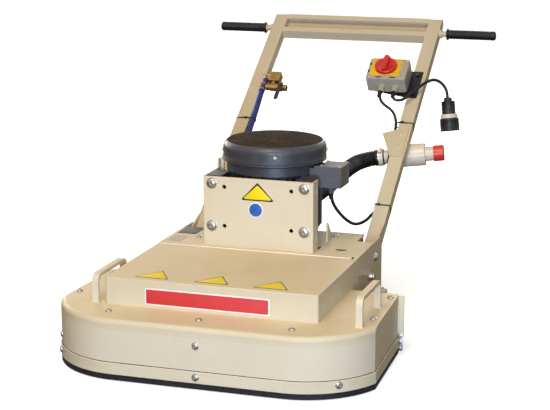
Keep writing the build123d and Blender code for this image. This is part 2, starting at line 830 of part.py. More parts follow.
# ---- motor bracket ----------------------------------------------------------------------
motor_bolt_points = [(x, z) for x in (-motor_bolt_x, motor_bolt_x) for z in (motor_bolt_low, motor_bolt_high)]
half_bracket = bracket_width / 2
bracket_back = bracket_y + bracket_t
bracket_top = cover_top + bracket_height
step_y = bracket_y + bracket_left_return
with BuildPart() as motor_bracket:
    with BuildSketch(Plane.XZ.offset(-bracket_back)):
        with Locations((0, cover_top + bracket_height / 2)):
            Rectangle(bracket_width, bracket_height)
    extrude(amount=bracket_t)
    # right return, shallow
    with BuildSketch(Plane.YZ.offset(half_bracket - bracket_t)):
        with Locations((bracket_y + bracket_right_return / 2, cover_top + bracket_height / 2)):
            Rectangle(bracket_right_return, bracket_height)
        for z in (bracket_top - 32, cover_top + 40):
            with Locations((bracket_y + bracket_right_return * 0.6, z)):
                SlotOverall(22, 9, rotation=90, mode=Mode.SUBTRACT)
    extrude(amount=bracket_t)
    # left return, deeper, with a taller rear and a lip facing forward
    with BuildSketch(Plane.YZ.offset(-half_bracket)):
        with Locations((bracket_y + bracket_left_return / 2, cover_top + bracket_height / 2)):
            Rectangle(bracket_left_return, bracket_height)
        with Locations((step_y - bracket_step_depth / 2, bracket_top + bracket_step / 2)):
            Rectangle(bracket_step_depth, bracket_step)
    extrude(amount=bracket_t)
    with BuildSketch(Plane.XZ.offset(-step_y)):
        lip_low = bracket_top - 60
        with Locations((-half_bracket + bracket_step_lip / 2, (lip_low + bracket_top + bracket_step) / 2)):
            Rectangle(bracket_step_lip, bracket_top + bracket_step - lip_low)
    extrude(amount=bracket_t)
    # foot on the deck
    with BuildSketch(Plane.XY.offset(cover_top)):
        with Locations((0, bracket_y + bracket_foot / 2)):
            Rectangle(bracket_width, bracket_foot)
    extrude(amount=bracket_t)
    fillet(motor_bracket.edges().filter_by(Axis.Z).group_by(Axis.Y)[0], bracket_t * 0.7)
    with BuildSketch(Plane.XZ.offset(-bracket_back - 1)):
        with Locations(*motor_bolt_points):
            Circle(motor_bolt_r + running_gap)
        with Locations(*[(x, z) for x in (-spare_hole_x, spare_hole_x)
                         for z in (motor_bolt_low + 1, motor_bolt_high - 10)]):
            Circle(spare_hole_r)
    extrude(amount=bracket_t + 2, mode=Mode.SUBTRACT)
write(motor_bracket, "motor_bracket")

# ---- motor ------------------------------------------------------------------------------
motor_foot_w = 46.0
fins_height = motor_fins_top - motor_fins_low
foot_depth = motor_y - bracket_back - 80
bore_r = shaft_r + 5
stator_outer_r = motor_core_r - motor_wall
with BuildPart() as motor_frame:
    with BuildSketch(Plane.XY.offset(motor_fins_low)):
        with Locations((0, motor_y)):
            Circle(motor_core_r)
            with PolarLocations((motor_r + motor_core_r) / 2 - 2, fin_count):
                Rectangle(motor_r - motor_core_r + 4, fin_t)
            Circle(stator_outer_r, mode=Mode.SUBTRACT)
    extrude(amount=fins_height)
    # cast feet against the bracket
    with BuildSketch(Plane.XZ.offset(-bracket_back)):
        with Locations(*[(x, z) for x in (-motor_bolt_x + 6, motor_bolt_x - 6)
                         for z in (motor_bolt_low, motor_bolt_high)]):
            Rectangle(motor_foot_w, motor_foot_w)
    extrude(amount=-foot_depth)
    with BuildSketch(Plane.XY.offset(motor_fins_low - 40)):
        with Locations((0, motor_y)):
            Circle(stator_outer_r)
    extrude(amount=fins_height + 80, mode=Mode.SUBTRACT)
    with BuildSketch(Plane.XZ.offset(-bracket_back)):
        with Locations(*motor_bolt_points):
            Circle(motor_bolt_r + running_gap)
    extrude(amount=-motor_bolt_l, mode=Mode.SUBTRACT)
write(motor_frame, "motor_frame")

bell_rim = 12.0
boss_r = bearing_r + 16      # boss round each bearing
with BuildPart() as end_bells:
    # drive end, with its bearing pocket open upwards
    with BuildSketch(Plane.XZ):
        with BuildLine():
            Polyline(
                (bore_r, motor_bottom), (boss_r + 6, motor_bottom),
                (motor_core_r + 4, motor_fins_low - bell_rim), (motor_core_r + 4, motor_fins_low),
                (motor_core_r - 12, motor_fins_low),
                (motor_core_r - 16, motor_fins_low - 8), (boss_r, motor_bottom + 28),
                (bearing_r + running_gap, motor_bottom + 28), (bearing_r + running_gap, motor_bottom + 8),
                (bore_r, motor_bottom + 8), close=True)
        make_face()
    revolve(axis=Axis.Z)
    # fan end: smooth rim, pocket open downwards, ledge for the cowl
    fan_bell_top = cowl_bottom + 8
    with BuildSketch(Plane.XZ):
        with BuildLine():
            Polyline(
                (bore_r, fan_bell_top - 8), (cowl_r - cowl_wall - belt_gap, fan_bell_top - 8 + 4),
                (cowl_r - cowl_wall - belt_gap, cowl_bottom - 2), (end_bell_r, cowl_bottom - 6),
                (end_bell_r, motor_fins_top), (motor_core_r - 12, motor_fins_top),
                (motor_core_r - 16, fan_bell_top - 22), (boss_r, fan_bell_top - 22),
                (boss_r, fan_bell_top - 34), (bearing_r + running_gap, fan_bell_top - 34),
                (bearing_r + running_gap, fan_bell_top - 14), (bore_r, fan_bell_top - 14), close=True)
        make_face()
    revolve(axis=Axis.Z)
with BuildPart() as placed_bells:
    with Locations((0, motor_y, 0)):
        add(end_bells.part)
write(placed_bells, "motor_end_bells")
fan_bearing_z = fan_bell_top - 14 - bearing_w
drive_bearing_z = motor_bottom + 8

cowl_top = cowl_bottom + cowl_height
with BuildPart() as fan_cowl:
    with BuildSketch(Plane.XZ):
        with BuildLine():
            Line((0, cowl_top), (cowl_r * 0.62, cowl_top - 2))
            Line((cowl_r * 0.62, cowl_top - 2), (cowl_r - cowl_shoulder_r, cowl_top - 6))
            RadiusArc((cowl_r - cowl_shoulder_r, cowl_top - 6), (cowl_r, cowl_top - 6 - cowl_shoulder_r),
                      cowl_shoulder_r)
            Line((cowl_r, cowl_top - 6 - cowl_shoulder_r), (cowl_r, cowl_bottom + 5))
            Polyline((cowl_r, cowl_bottom + 5), (cowl_r + 2, cowl_bottom + 4), (cowl_r + 2, cowl_bottom),
                     (cowl_r - cowl_wall, cowl_bottom), (cowl_r - cowl_wall, cowl_top - 8 - cowl_shoulder_r))
            RadiusArc((cowl_r - cowl_wall, cowl_top - 8 - cowl_shoulder_r),
                      (cowl_r - cowl_shoulder_r, cowl_top - 6 - cowl_wall), -(cowl_shoulder_r - 1))
            Line((cowl_r - cowl_shoulder_r, cowl_top - 6 - cowl_wall), (0, cowl_top - cowl_wall))
            Line((0, cowl_top - cowl_wall), (0, cowl_top))
        make_face()
    revolve(axis=Axis.Z)
    # air slots in rings round the crown
    with BuildSketch(Plane.XY.offset(cowl_top - 20)):
        for row in range(cowl_vent_rows):
            row_r = 34 + row * 22
            with PolarLocations(row_r, 8 + 4 * row):
                Rectangle(9, 7)
    extrude(amount=30, mode=Mode.SUBTRACT)
with BuildPart() as placed_cowl:
    with Locations((0, motor_y, 0)):
        add(fan_cowl.part)
write(placed_cowl, "fan_cowl")

winding_h = 16.0
with BuildPart() as stator:
    with BuildSketch(Plane.XY.offset(rotor_low)):
        with Locations((0, motor_y)):
            Circle(stator_outer_r)
            Circle(rotor_r + air_gap, mode=Mode.SUBTRACT)
    extrude(amount=rotor_high - rotor_low)
    for z in (rotor_low - winding_h, rotor_high):
        with BuildSketch(Plane.XY.offset(z)):
            with Locations((0, motor_y)):
                Circle(stator_outer_r - 10)
                Circle(rotor_r + 8, mode=Mode.SUBTRACT)
        extrude(amount=winding_h)
write(stator, "stator")

pulley_low = belt_z - pulley_w / 2
fan_top = fan_z + fan_h
with BuildPart() as rotor:
    with BuildSketch(Plane.XY.offset(pulley_low - 4)):
        with Locations((0, motor_y)):
            Circle(shaft_r)
    extrude(amount=fan_top + 4 - pulley_low)
    chamfer(rotor.edges().filter_by(GeomType.CIRCLE), 2)
write(rotor, "rotor_shaft")

with BuildPart() as rotor_core:
    with BuildSketch(Plane.XY.offset(rotor_low)):
        with Locations((0, motor_y)):
            Circle(rotor_r)
            Circle(shaft_r + running_gap, mode=Mode.SUBTRACT)
    extrude(amount=rotor_high - rotor_low)
    for z, way in ((rotor_low, -1), (rotor_high, 1)):
        with BuildSketch(Plane.XY.offset(z)):
            with Locations((0, motor_y)):
                Circle(rotor_r - 6)
                Circle(rotor_r - 26, mode=Mode.SUBTRACT)
        extrude(amount=way * 10)
write(rotor_core, "rotor_core")

with BuildPart() as cooling_fan:
    with BuildSketch(Plane.XY.offset(fan_z)):
        with Locations((0, motor_y)):
            Circle(32)
            Circle(shaft_r + running_gap, mode=Mode.SUBTRACT)
    extrude(amount=fan_h)
    with BuildSketch(Plane.XY.offset(fan_z)):
        with Locations((0, motor_y)):
            Circle(fan_r)
            Circle(30, mode=Mode.SUBTRACT)
    extrude(amount=3)
    with BuildSketch(Plane.XY.offset(fan_z)):
        with Locations((0, motor_y)):
            with PolarLocations((fan_r + 30) / 2, fan_blades):
                Rectangle(fan_r - 30, 3)
    extrude(amount=fan_h)
write(cooling_fan, "cooling_fan")

with BuildPart() as motor_pulley:
    with Locations((0, motor_y)):
        add(round_pulley(motor_pulley_r, shaft_r + running_gap, motor_hub_r, belt_z, pulley_w))
write(motor_pulley, "motor_pulley")

# ---- terminal box -------------------------------------------------------------------------
terminal_left = terminal_x - terminal_w / 2
terminal_front = motor_y - terminal_lead
with BuildPart() as terminal_box:
    with BuildSketch(Plane.XY.offset(terminal_low)):
        with Locations((terminal_x, terminal_front + terminal_d / 2)):
            Rectangle(terminal_w, terminal_d)
            Rectangle(terminal_w - 2 * terminal_wall, terminal_d - 2 * terminal_wall, mode=Mode.SUBTRACT)
    extrude(amount=terminal_h)
    with BuildSketch(Plane.XY.offset(terminal_low)):
        with Locations((terminal_x, terminal_front + terminal_d / 2)):
            Rectangle(terminal_w, terminal_d)
    extrude(amount=terminal_wall)
    # boss that carries the box on the motor frame
    with BuildSketch(Plane.XY.offset(terminal_low)):
        with Locations((motor_core_r, terminal_front + terminal_d / 2)):
            Rectangle(2 * (terminal_left + terminal_wall - motor_core_r) + 20, terminal_d * 0.7)
    extrude(amount=motor_fins_top - terminal_low - 2)
    with BuildSketch(Plane.XY.offset(terminal_low - 5)):
        with Locations((0, motor_y)):
            Circle(end_bell_r + belt_gap)
    extrude(amount=terminal_h + 10, mode=Mode.SUBTRACT)
    with Locations(Plane((motor_gland_x, terminal_front + terminal_d / 2, terminal_low))):
        Hole(lead_r + 2, depth=terminal_wall)
terminal_y_mid = terminal_front + terminal_d / 2
write(terminal_box, "terminal_box")

with BuildPart() as terminal_lid:
    with BuildSketch(Plane.XY.offset(terminal_low + terminal_h)):
        with Locations((terminal_x, terminal_y_mid)):
            Rectangle(terminal_w, terminal_d)
    extrude(amount=terminal_lid_t)
    with BuildSketch(Plane.XY.offset(terminal_low + terminal_h)):
        with Locations((0, motor_y)):
            Circle(cowl_r + 2 + clearance)
    extrude(amount=terminal_lid_t, mode=Mode.SUBTRACT)
    fillet(terminal_lid.edges().group_by(Axis.Z)[-1], 2)
    # cable gland under the box
    with BuildSketch(Plane.XY.offset(terminal_low)):
        with Locations((motor_gland_x, terminal_y_mid)):
            RegularPolygon(motor_gland_r, 6)
            Circle(lead_r, mode=Mode.SUBTRACT)
    extrude(amount=-motor_gland_l * 0.4)
    with BuildSketch(Plane.XY.offset(terminal_low - motor_gland_l * 0.4)):
        with Locations((motor_gland_x, terminal_y_mid)):
            Circle(motor_gland_r - 1.5)
            Circle(lead_r, mode=Mode.SUBTRACT)
    extrude(amount=-motor_gland_l * 0.6, taper=8)
write(terminal_lid, "terminal_lid")

# ---- belt drive -----------------------------------------------------------------------------
idler_y = head_front + idler_from_front
belt_wheels = [
    ((0, motor_y), motor_pulley_r),
    ((-disc_x, head_mid), disc_pulley_r),
    ((disc_x, head_mid), disc_pulley_r),
    ((idler_x, idler_y), idler_r),
]


def belt_loop(grow):
    """Outline of a band pulled tight round every pulley."""
    with BuildSketch(Plane.XY, mode=Mode.PRIVATE) as loop:
        for place, radius in belt_wheels:
            with Locations(place):
                Circle(radius + grow)
        make_hull()
    return loop.sketch


with BuildPart() as drive_belt:
    with BuildSketch(Plane.XY.offset(belt_z - belt_w / 2)):
        add(belt_loop(belt_gap + belt_t))
        add(belt_loop(belt_gap), mode=Mode.SUBTRACT)
    extrude(amount=belt_w)
write(drive_belt, "drive_belt")

with BuildPart() as idler_pulley:
    with Locations((idler_x, idler_y)):
        add(round_pulley(idler_r, idler_post_r + running_gap, idler_post_r + 5, belt_z, pulley_w))
write(idler_pulley, "idler_pulley")

idler_low = belt_z - pulley_w / 2 - clearance
with BuildPart() as idler_post:
    with BuildSketch(Plane.XY.offset(head_top)):
        with Locations((idler_x, idler_y)):
            Circle(26)
    extrude(amount=6)
    with BuildSketch(Plane.XY.offset(head_top + 6)):
        with Locations((idler_x, idler_y)):
            Circle(idler_post_r + 6)
    extrude(amount=idler_low - head_top - 6)
    with BuildSketch(Plane.XY.offset(idler_low)):
        with Locations((idler_x, idler_y)):
            Circle(idler_post_r)
    extrude(amount=pulley_w + 2 * clearance)
    with BuildSketch(Plane.XY.offset(idler_low + pulley_w + 2 * clearance)):
        with Locations((idler_x, idler_y)):
            RegularPolygon(idler_post_r + 6, 6)
    extrude(amount=8)
write(idler_post, "idler_post")

# ---- spindles, their housings and bearings ------------------------------------------------------
housing_bore = spindle_r + 6
with BuildPart() as spindle_housings:
    spots = [(x, head_mid) for x in spindle_xs]
    with BuildSketch(Plane.XY.offset(housing_low)):
        with Locations(*spots):
            Circle(housing_r)
    extrude(amount=housing_high - housing_low)
    with BuildSketch(Plane.XY.offset(plate_low - housing_flange_t)):
        with Locations(*spots):
            Circle(housing_flange_r)
    extrude(amount=housing_flange_t)
    with BuildSketch(Plane.XY.offset(housing_low)):
        with Locations(*spots):
            Circle(housing_bore)
    extrude(amount=housing_high - housing_low, mode=Mode.SUBTRACT)
    for z, way in ((housing_low, 1), (housing_high, -1)):
        with BuildSketch(Plane.XY.offset(z)):
            with Locations(*spots):
                Circle(spindle_bearing_r + running_gap)
        extrude(amount=way * spindle_bearing_w, mode=Mode.SUBTRACT)
write(spindle_housings, "spindle_housings")

with BuildPart() as bearings:
    for x in spindle_xs:
        with Locations((x, head_mid)):
            add(bearing_ring(spindle_r + running_gap, spindle_bearing_r, housing_low, spindle_bearing_w))
            add(bearing_ring(spindle_r + running_gap, spindle_bearing_r,
                             housing_high - spindle_bearing_w, spindle_bearing_w))
    with Locations((0, motor_y)):
        add(bearing_ring(shaft_r + running_gap, bearing_r, drive_bearing_z, bearing_w))
        add(bearing_ring(shaft_r + running_gap, bearing_r, fan_bearing_z, bearing_w))
write(bearings, "bearings")

disc_top = disc_low + disc_t
coupling_top = disc_top + coupling_t
shoe_t = disc_low - segment_h
for x, word in zip(spindle_xs, ("left", "right")):
    with BuildPart() as spindle:
        with BuildSketch(Plane.XY.offset(coupling_top)):
            with Locations((x, head_mid)):
                Circle(spindle_flange_r)
        extrude(amount=spindle_flange_t)
        with BuildSketch(Plane.XY.offset(coupling_top + spindle_flange_t)):
            with Locations((x, head_mid)):
                Circle(spindle_r + 8)
        extrude(amount=housing_low - clearance - coupling_top - spindle_flange_t)
        with BuildSketch(Plane.XY.offset(coupling_top)):
            with Locations((x, head_mid)):
                Circle(spindle_r)
        extrude(amount=spindle_top - coupling_top)
        with Locations((x, head_mid)):
            add(round_pulley(disc_pulley_r, spindle_r - 1, spindle_r + 16, belt_z, pulley_w))
        with BuildSketch(Plane.XY.offset(belt_z + pulley_w / 2)):
            with Locations((x, head_mid)):
                RegularPolygon(spindle_r + 8, 6)
        extrude(amount=spindle_top - belt_z - pulley_w / 2 - 2)
    write(spindle, f"spindle_{word}")

    with BuildPart() as disc:
        with BuildSketch(Plane.XY.offset(disc_low)):
            with Locations((x, head_mid)):
                Circle(disc_r)
        extrude(amount=disc_t)
        fillet(disc.edges().filter_by(GeomType.CIRCLE), 2)
        # rubber coupling ring between the disc and the spindle flange
        with BuildSketch(Plane.XY.offset(disc_top)):
            with Locations((x, head_mid)):
                Circle(coupling_r)
                Circle(spindle_r, mode=Mode.SUBTRACT)
        extrude(amount=coupling_t)
        # shoe holders
        with BuildSketch(Plane.XY.offset(segment_h)):
            with Locations((x, head_mid)):
                with PolarLocations(shoe_circle_r, shoe_count, start_angle=90):
                    Trapezoid(shoe_w, shoe_l, 78, rotation=-90)
        extrude(amount=shoe_t)
    write(disc, f"disc_{word}")

    with BuildPart() as segments:
        with BuildSketch(Plane.XY):
            with Locations((x, head_mid)):
                with PolarLocations(shoe_circle_r, shoe_count, start_angle=90):
                    with Locations((0, -shoe_l * 0.27), (0, shoe_l * 0.27)):
                        RectangleRounded(segment_w, segment_l, 5)
        extrude(amount=segment_h)
    write(segments, f"diamond_segments_{word}")

# ---- handle tubes -----------------------------------------------------------------------------
tube_length = tube_end - tube_start
foot_outline_r = 22.0
lug_reach = 120.0           # the lug plate is welded this far up the tube
for side, word in ((-1, "left"), (1, "right")):
    with BuildPart() as upright:
        with BuildSketch(handle_face(tube_back)):
            with Locations((side * tube_x, tube_start + tube_length / 2)):
                Rectangle(tube_w, tube_length)
        extrude(amount=tube_d)
        far_end = upright.faces().sort_by(Axis((0, 0, 0), along))[-1]
        fillet(far_end.edges().filter_by(Axis.X), tube_end_r)
        with BuildSketch(handle_end(tube_start)):
            with Locations((side * tube_x, tube_n if handle_end(0).y_dir.dot(outward) > 0 else -tube_n)):
                Rectangle(tube_w - 2 * tube_wall, tube_d - 2 * tube_wall)
        extrude(amount=tube_length - tube_end_r, mode=Mode.SUBTRACT)
        # lug plate that reaches the pivot and the lock bolt
        lug_x = side * (side_inner - clearance - foot_plate_t / 2)
        pivot_seat = handle_side(lug_x - foot_plate_t / 2)
        lock_s = lock_radius * cos(radians(lock_angle) - lean)
        lock_n = lock_radius * sin(radians(lock_angle) - lean)
        with BuildSketch(pivot_seat):
            with BuildLine():
                Polyline(
                    (tube_start + lug_reach, tube_back), (tube_start, tube_back),
                    (lock_s, lock_n - foot_outline_r), (lock_s - foot_outline_r, lock_n),
                    (lock_s, lock_n + foot_outline_r),
                    (0, foot_outline_r), (tube_start + lug_reach, tube_front), close=True)
            make_face()
            Circle(pivot_bolt_r + running_gap, mode=Mode.SUBTRACT)
            with Locations((lock_s, lock_n)):
                Circle(lock_bolt_r + running_gap, mode=Mode.SUBTRACT)
        extrude(amount=foot_plate_t)
    write(upright, f"upright_{word}")

channel_top = tube_end - channel_drop
channel_mid = channel_top - channel_h / 2
with BuildPart() as cross_channel:
    with BuildSketch(handle_side(-tube_inner_x)):
        with Locations((channel_mid, tube_n)):
            Rectangle(channel_h, tube_d)
            Rectangle(channel_h - 2 * channel_t, tube_d - 2 * channel_t, mode=Mode.SUBTRACT)
        with Locations((channel_mid, tube_front - channel_t / 2)):
            Rectangle(channel_h - 2 * channel_lip, channel_t + 1, mode=Mode.SUBTRACT)
    extrude(amount=2 * tube_inner_x)
write(cross_channel, "cross_channel")

# ---- hand grips -----------------------------------------------------------------------------------
grip_s = tube_end - grip_drop
grip_far = tube_outer_x + grip_start + grip_length
with BuildPart() as grip_rods:
    for side in (-1, 1):
        rod_base = Plane(origin=handle_point(side * tube_outer_x, grip_s, tube_n), z_dir=(side, 0, 0))
        with BuildSketch(rod_base):
            Circle(grip_collar_r)
        extrude(amount=grip_collar_w)
        with BuildSketch(rod_base):
            Circle(grip_rod_r)
        extrude(amount=grip_far - grip_end_wall - tube_outer_x)
write(grip_rods, "grip_rods")

with BuildPart() as grips:
    for side in (-1, 1):
        grip_base = Plane(
            origin=handle_point(side * (tube_outer_x + grip_start), grip_s, tube_n), z_dir=(side, 0, 0))
        with BuildSketch(grip_base):
            Circle(grip_flange_r)
            Circle(grip_rod_r, mode=Mode.SUBTRACT)
        extrude(amount=6)
        with BuildSketch(grip_base):
            Circle(grip_r)
            Circle(grip_rod_r, mode=Mode.SUBTRACT)
        extrude(amount=grip_length - grip_end_wall)
        with BuildSketch(grip_base.offset(grip_length - grip_end_wall)):
            Circle(grip_r)
        extrude(amount=grip_end_wall)
    fillet(grips.edges().filter_by(GeomType.CIRCLE).group_by(Axis.X)[0], grip_end_wall - 0.5)
    fillet(grips.edges().filter_by(GeomType.CIRCLE).group_by(Axis.X)[-1], grip_end_wall - 0.5)
write(grips, "grips")

# ---- handle lock ---------------------------------------------------------------------------------
lock_point = handle_point(0, lock_s, lock_n)
lever_hub_w = 14.0
with BuildPart() as lock_bolts:
    for side in (-1, 1):
        inner = side * (side_inner - clearance - foot_plate_t - 8)
        with BuildSketch(Plane(origin=(inner, lock_point.Y, lock_point.Z), z_dir=(side, 0, 0))):
            RegularPolygon(lock_head_r, 6)
        extrude(amount=8 - running_gap)
        bolt_end = lever_hub_w + 6 if side > 0 else 3
        with BuildSketch(Plane(origin=(inner, lock_point.Y, lock_point.Z), z_dir=(side, 0, 0))):
            Circle(lock_bolt_r)
        extrude(amount=half_cover + bolt_end - abs(inner))
    left_seat = Plane(origin=(-half_cover - clearance, lock_point.Y, lock_point.Z), z_dir=(-1, 0, 0))
    with BuildSketch(left_seat):
        Circle(lock_head_r)
    extrude(amount=8)
    right_seat = Plane(origin=(half_cover + lever_hub_w + 1, lock_point.Y, lock_point.Z), z_dir=(1, 0, 0))
    with BuildSketch(right_seat):
        Circle(lock_head_r - 1)
    extrude(amount=6)
write(lock_bolts, "lock_bolts")

lever_way = radians(180 - lever_rise)
lever_plane = Plane(
    origin=(half_cover + clearance, lock_point.Y, lock_point.Z),
    x_dir=(0, cos(lever_way), sin(lever_way)), z_dir=(1, 0, 0))
with BuildPart() as lock_lever:
    with BuildSketch(lever_plane):
        Circle(lock_head_r + 2)
        Circle(lock_bolt_r + running_gap, mode=Mode.SUBTRACT)
    extrude(amount=lever_hub_w)
    with BuildSketch(lever_plane.offset(lever_hub_w - 9)):
        with BuildLine():
            Polyline(
                (lock_head_r, -6), (lever_l - 8, -4.5), (lever_l, 0), (lever_l - 8, 4.5), (lock_head_r, 6),
                close=True)
        make_face()
    extrude(amount=8)
write(lock_lever, "lock_lever")

# ---- switch box on the right tube ------------------------------------------------------------------
box_back = tube_front + switch_bracket_t + box_stand_off
box_front = box_back + box_d
lid_front = box_front + lid_t
with BuildPart() as switch_bracket:
    with BuildSketch(handle_face(tube_front)):
        with BuildLine():
            low = box_s - box_h / 2 - 18
            high = box_s + box_h / 2 + 8
            Polyline(
                (box_x - box_w * 0.36, box_s - box_h * 0.42), (tube_inner_x, low), (tube_outer_x - 12, low),
                (tube_outer_x - 12, high), (tube_inner_x - 20, high),
                (box_x - box_w * 0.36, box_s + box_h * 0.42), close=True)
        make_face()
    extrude(amount=switch_bracket_t)
    with BuildSketch(handle_face(tube_front + switch_bracket_t)):
        with Locations(*[(box_x + a, box_s + b) for a in (-40, 40) for b in (-28, 28)]):
            Circle(7)
    extrude(amount=box_stand_off)
    with BuildSketch(handle_face(tube_front + switch_bracket_t)):
        with Locations((tube_x - 6, box_s - box_h / 2 - 2), (tube_x - 6, box_s + box_h / 2 - 8)):
            Circle(8)
    extrude(amount=5)
write(switch_bracket, "switch_bracket")

with BuildPart() as switch_box:
    with BuildSketch(handle_face(box_back)):
        with Locations((box_x, box_s)):
            RectangleRounded(box_w, box_h, box_corner_r)
    extrude(amount=box_d)
    with BuildSketch(handle_face(box_back + box_wall)):
        with Locations((box_x, box_s)):
            RectangleRounded(box_w - 2 * box_wall, box_h - 2 * box_wall, box_corner_r - box_wall)
    extrude(amount=box_d, mode=Mode.SUBTRACT)
    gland_n = box_back + box_d / 2
    for x in (motor_lead_gland_x, plug_lead_gland_x):
        with BuildSketch(Plane(origin=handle_point(x, box_s - box_h / 2 - 1, gland_n), z_dir=along)):
            Circle(lead_r + clearance)
        extrude(amount=box_wall + 2, mode=Mode.SUBTRACT)
    # cable glands under the box
    for x in (motor_lead_gland_x, plug_lead_gland_x):
        gland_seat = Plane(origin=handle_point(x, box_s - box_h / 2, gland_n), z_dir=-along)
        with BuildSketch(gland_seat):
            RegularPolygon(gland_r, 6)
            Circle(lead_r, mode=Mode.SUBTRACT)
        extrude(amount=gland_l * 0.35)
        with BuildSketch(gland_seat.offset(gland_l * 0.35)):
            Circle(gland_r - 1)
            Circle(lead_r, mode=Mode.SUBTRACT)
        extrude(amount=gland_l * 0.35)
        with BuildSketch(gland_seat.offset(gland_l * 0.7)):
            Circle(gland_r - 2)
            Circle(lead_r, mode=Mode.SUBTRACT)
        extrude(amount=gland_l * 0.3, taper=20)
write(switch_box, "switch_box")

with BuildPart() as switch_lid:
    with BuildSketch(handle_face(box_front)):
        with Locations((box_x, box_s)):
            RectangleRounded(box_w, box_h, box_corner_r)
    extrude(amount=lid_t)
    fillet(switch_lid.faces().sort_by(Axis((0, 0, 0), outward))[-1].edges(), 3)
    with BuildSketch(handle_face(box_front - 1)):
        with Locations((box_x, box_s)):
            RectangleRounded(box_w - 16, box_h - 16, 4)
    extrude(amount=lid_t - 4, mode=Mode.SUBTRACT)
    # raised plate the knob sits on
    with BuildSketch(handle_face(lid_front)):
        with Locations((knob_x, knob_s)):
            RectangleRounded(label_plate_w, label_plate_h, 3)
    extrude(amount=label_plate_t)
    with BuildSketch(handle_face(box_front)):
        with Locations((knob_x, knob_s)):
            Circle(knob_shaft_r + running_gap)
    extrude(amount=lid_t + label_plate_t, mode=Mode.SUBTRACT)
write(switch_lid, "switch_lid")

knob_n = lid_front + label_plate_t + clearance
with BuildPart() as switch_knob:
    with BuildSketch(handle_face(knob_n)):
        with Locations((knob_x, knob_s)):
            Circle(knob_r)
    extrude(amount=knob_t)
    fillet(switch_knob.faces().sort_by(Axis((0, 0, 0), outward))[-1].edges(), 3)
    with BuildSketch(handle_face(knob_n + knob_t)):
        with Locations((knob_x, knob_s)):
            RectangleRounded(knob_bar_w, 2 * knob_r - 6, knob_bar_w * 0.3)
    extrude(amount=knob_bar_h, taper=6)
    # pointer on the rim
    with BuildSketch(handle_face(knob_n + 1)):
        with Locations((knob_x, knob_s + knob_r)):
            RectangleRounded(knob_bar_w, 12, 4)
    extrude(amount=knob_t - 2)
    with BuildSketch(handle_face(box_back + box_d * 0.6)):
        with Locations((knob_x, knob_s)):
            Circle(knob_shaft_r)
    extrude(amount=knob_n - box_back - box_d * 0.6)
write(switch_knob, "switch_knob")


# ---- dust outlet carried on the right tube -----------------------------------------------------------
dust_lean = radians(dust_rise)
dust_way = across * cos(dust_lean) + along * sin(dust_lean)
dust_start = handle_point(dust_x, dust_s, tube_n - dust_behind)
shoulder = dust_stub_l
tube_far = dust_stub_l + dust_tube_l
nose_far = tube_far + dust_nose_l


def dust_plane(reach):
    return Plane(origin=dust_start + dust_way * reach, x_dir=outward, z_dir=dust_way)


def dust_ring(reach, outer, inner, length):
    """One ring-shaped length of the dust tube."""
    with BuildPart(mode=Mode.PRIVATE) as ring:
        with BuildSketch(dust_plane(reach)):
            Circle(outer)
            Circle(inner, mode=Mode.SUBTRACT)
        extrude(amount=length)
    return ring.part


clamp_at = dust_hose_over - clamp_w - 4
with BuildPart() as dust_tube:
    add(dust_ring(0, dust_stub_r, dust_stub_r - dust_wall, shoulder + dust_wall))
    add(dust_ring(shoulder, dust_tube_r, dust_stub_r - dust_wall, dust_wall))
    add(dust_ring(shoulder, dust_tube_r, dust_tube_r - dust_wall, dust_tube_l))
    add(dust_ring(tube_far - dust_wall, dust_tube_r, dust_nose_r - dust_wall, dust_wall))
    add(dust_ring(tube_far - dust_wall, dust_nose_r, dust_nose_r - dust_wall, dust_nose_l + dust_wall))
    # worm-drive clamp over the end of the hose
    add(dust_ring(clamp_at, dust_hose_r + clamp_t, dust_hose_r, clamp_w))
    clamp_screw = dust_start + dust_way * (clamp_at + clamp_w / 2) + outward * (dust_hose_r + clamp_screw_r)
    with BuildSketch(Plane(origin=clamp_screw - along * 11, x_dir=outward, z_dir=along)):
        Circle(clamp_screw_r)
    extrude(amount=22)
write(dust_tube, "dust_tube")

with BuildPart() as dust_cap:
    add(dust_ring(nose_far - dust_cap_over, dust_cap_r, dust_nose_r + running_gap, dust_cap_l))
    with BuildSketch(dust_plane(nose_far - dust_cap_over + dust_cap_l - dust_wall)):
        Circle(dust_cap_r)
    extrude(amount=dust_wall)
    fillet(dust_cap.edges().filter_by(GeomType.CIRCLE).sort_by(Axis((0, 0, 0), dust_way))[-1], 2)
write(dust_cap, "dust_cap")

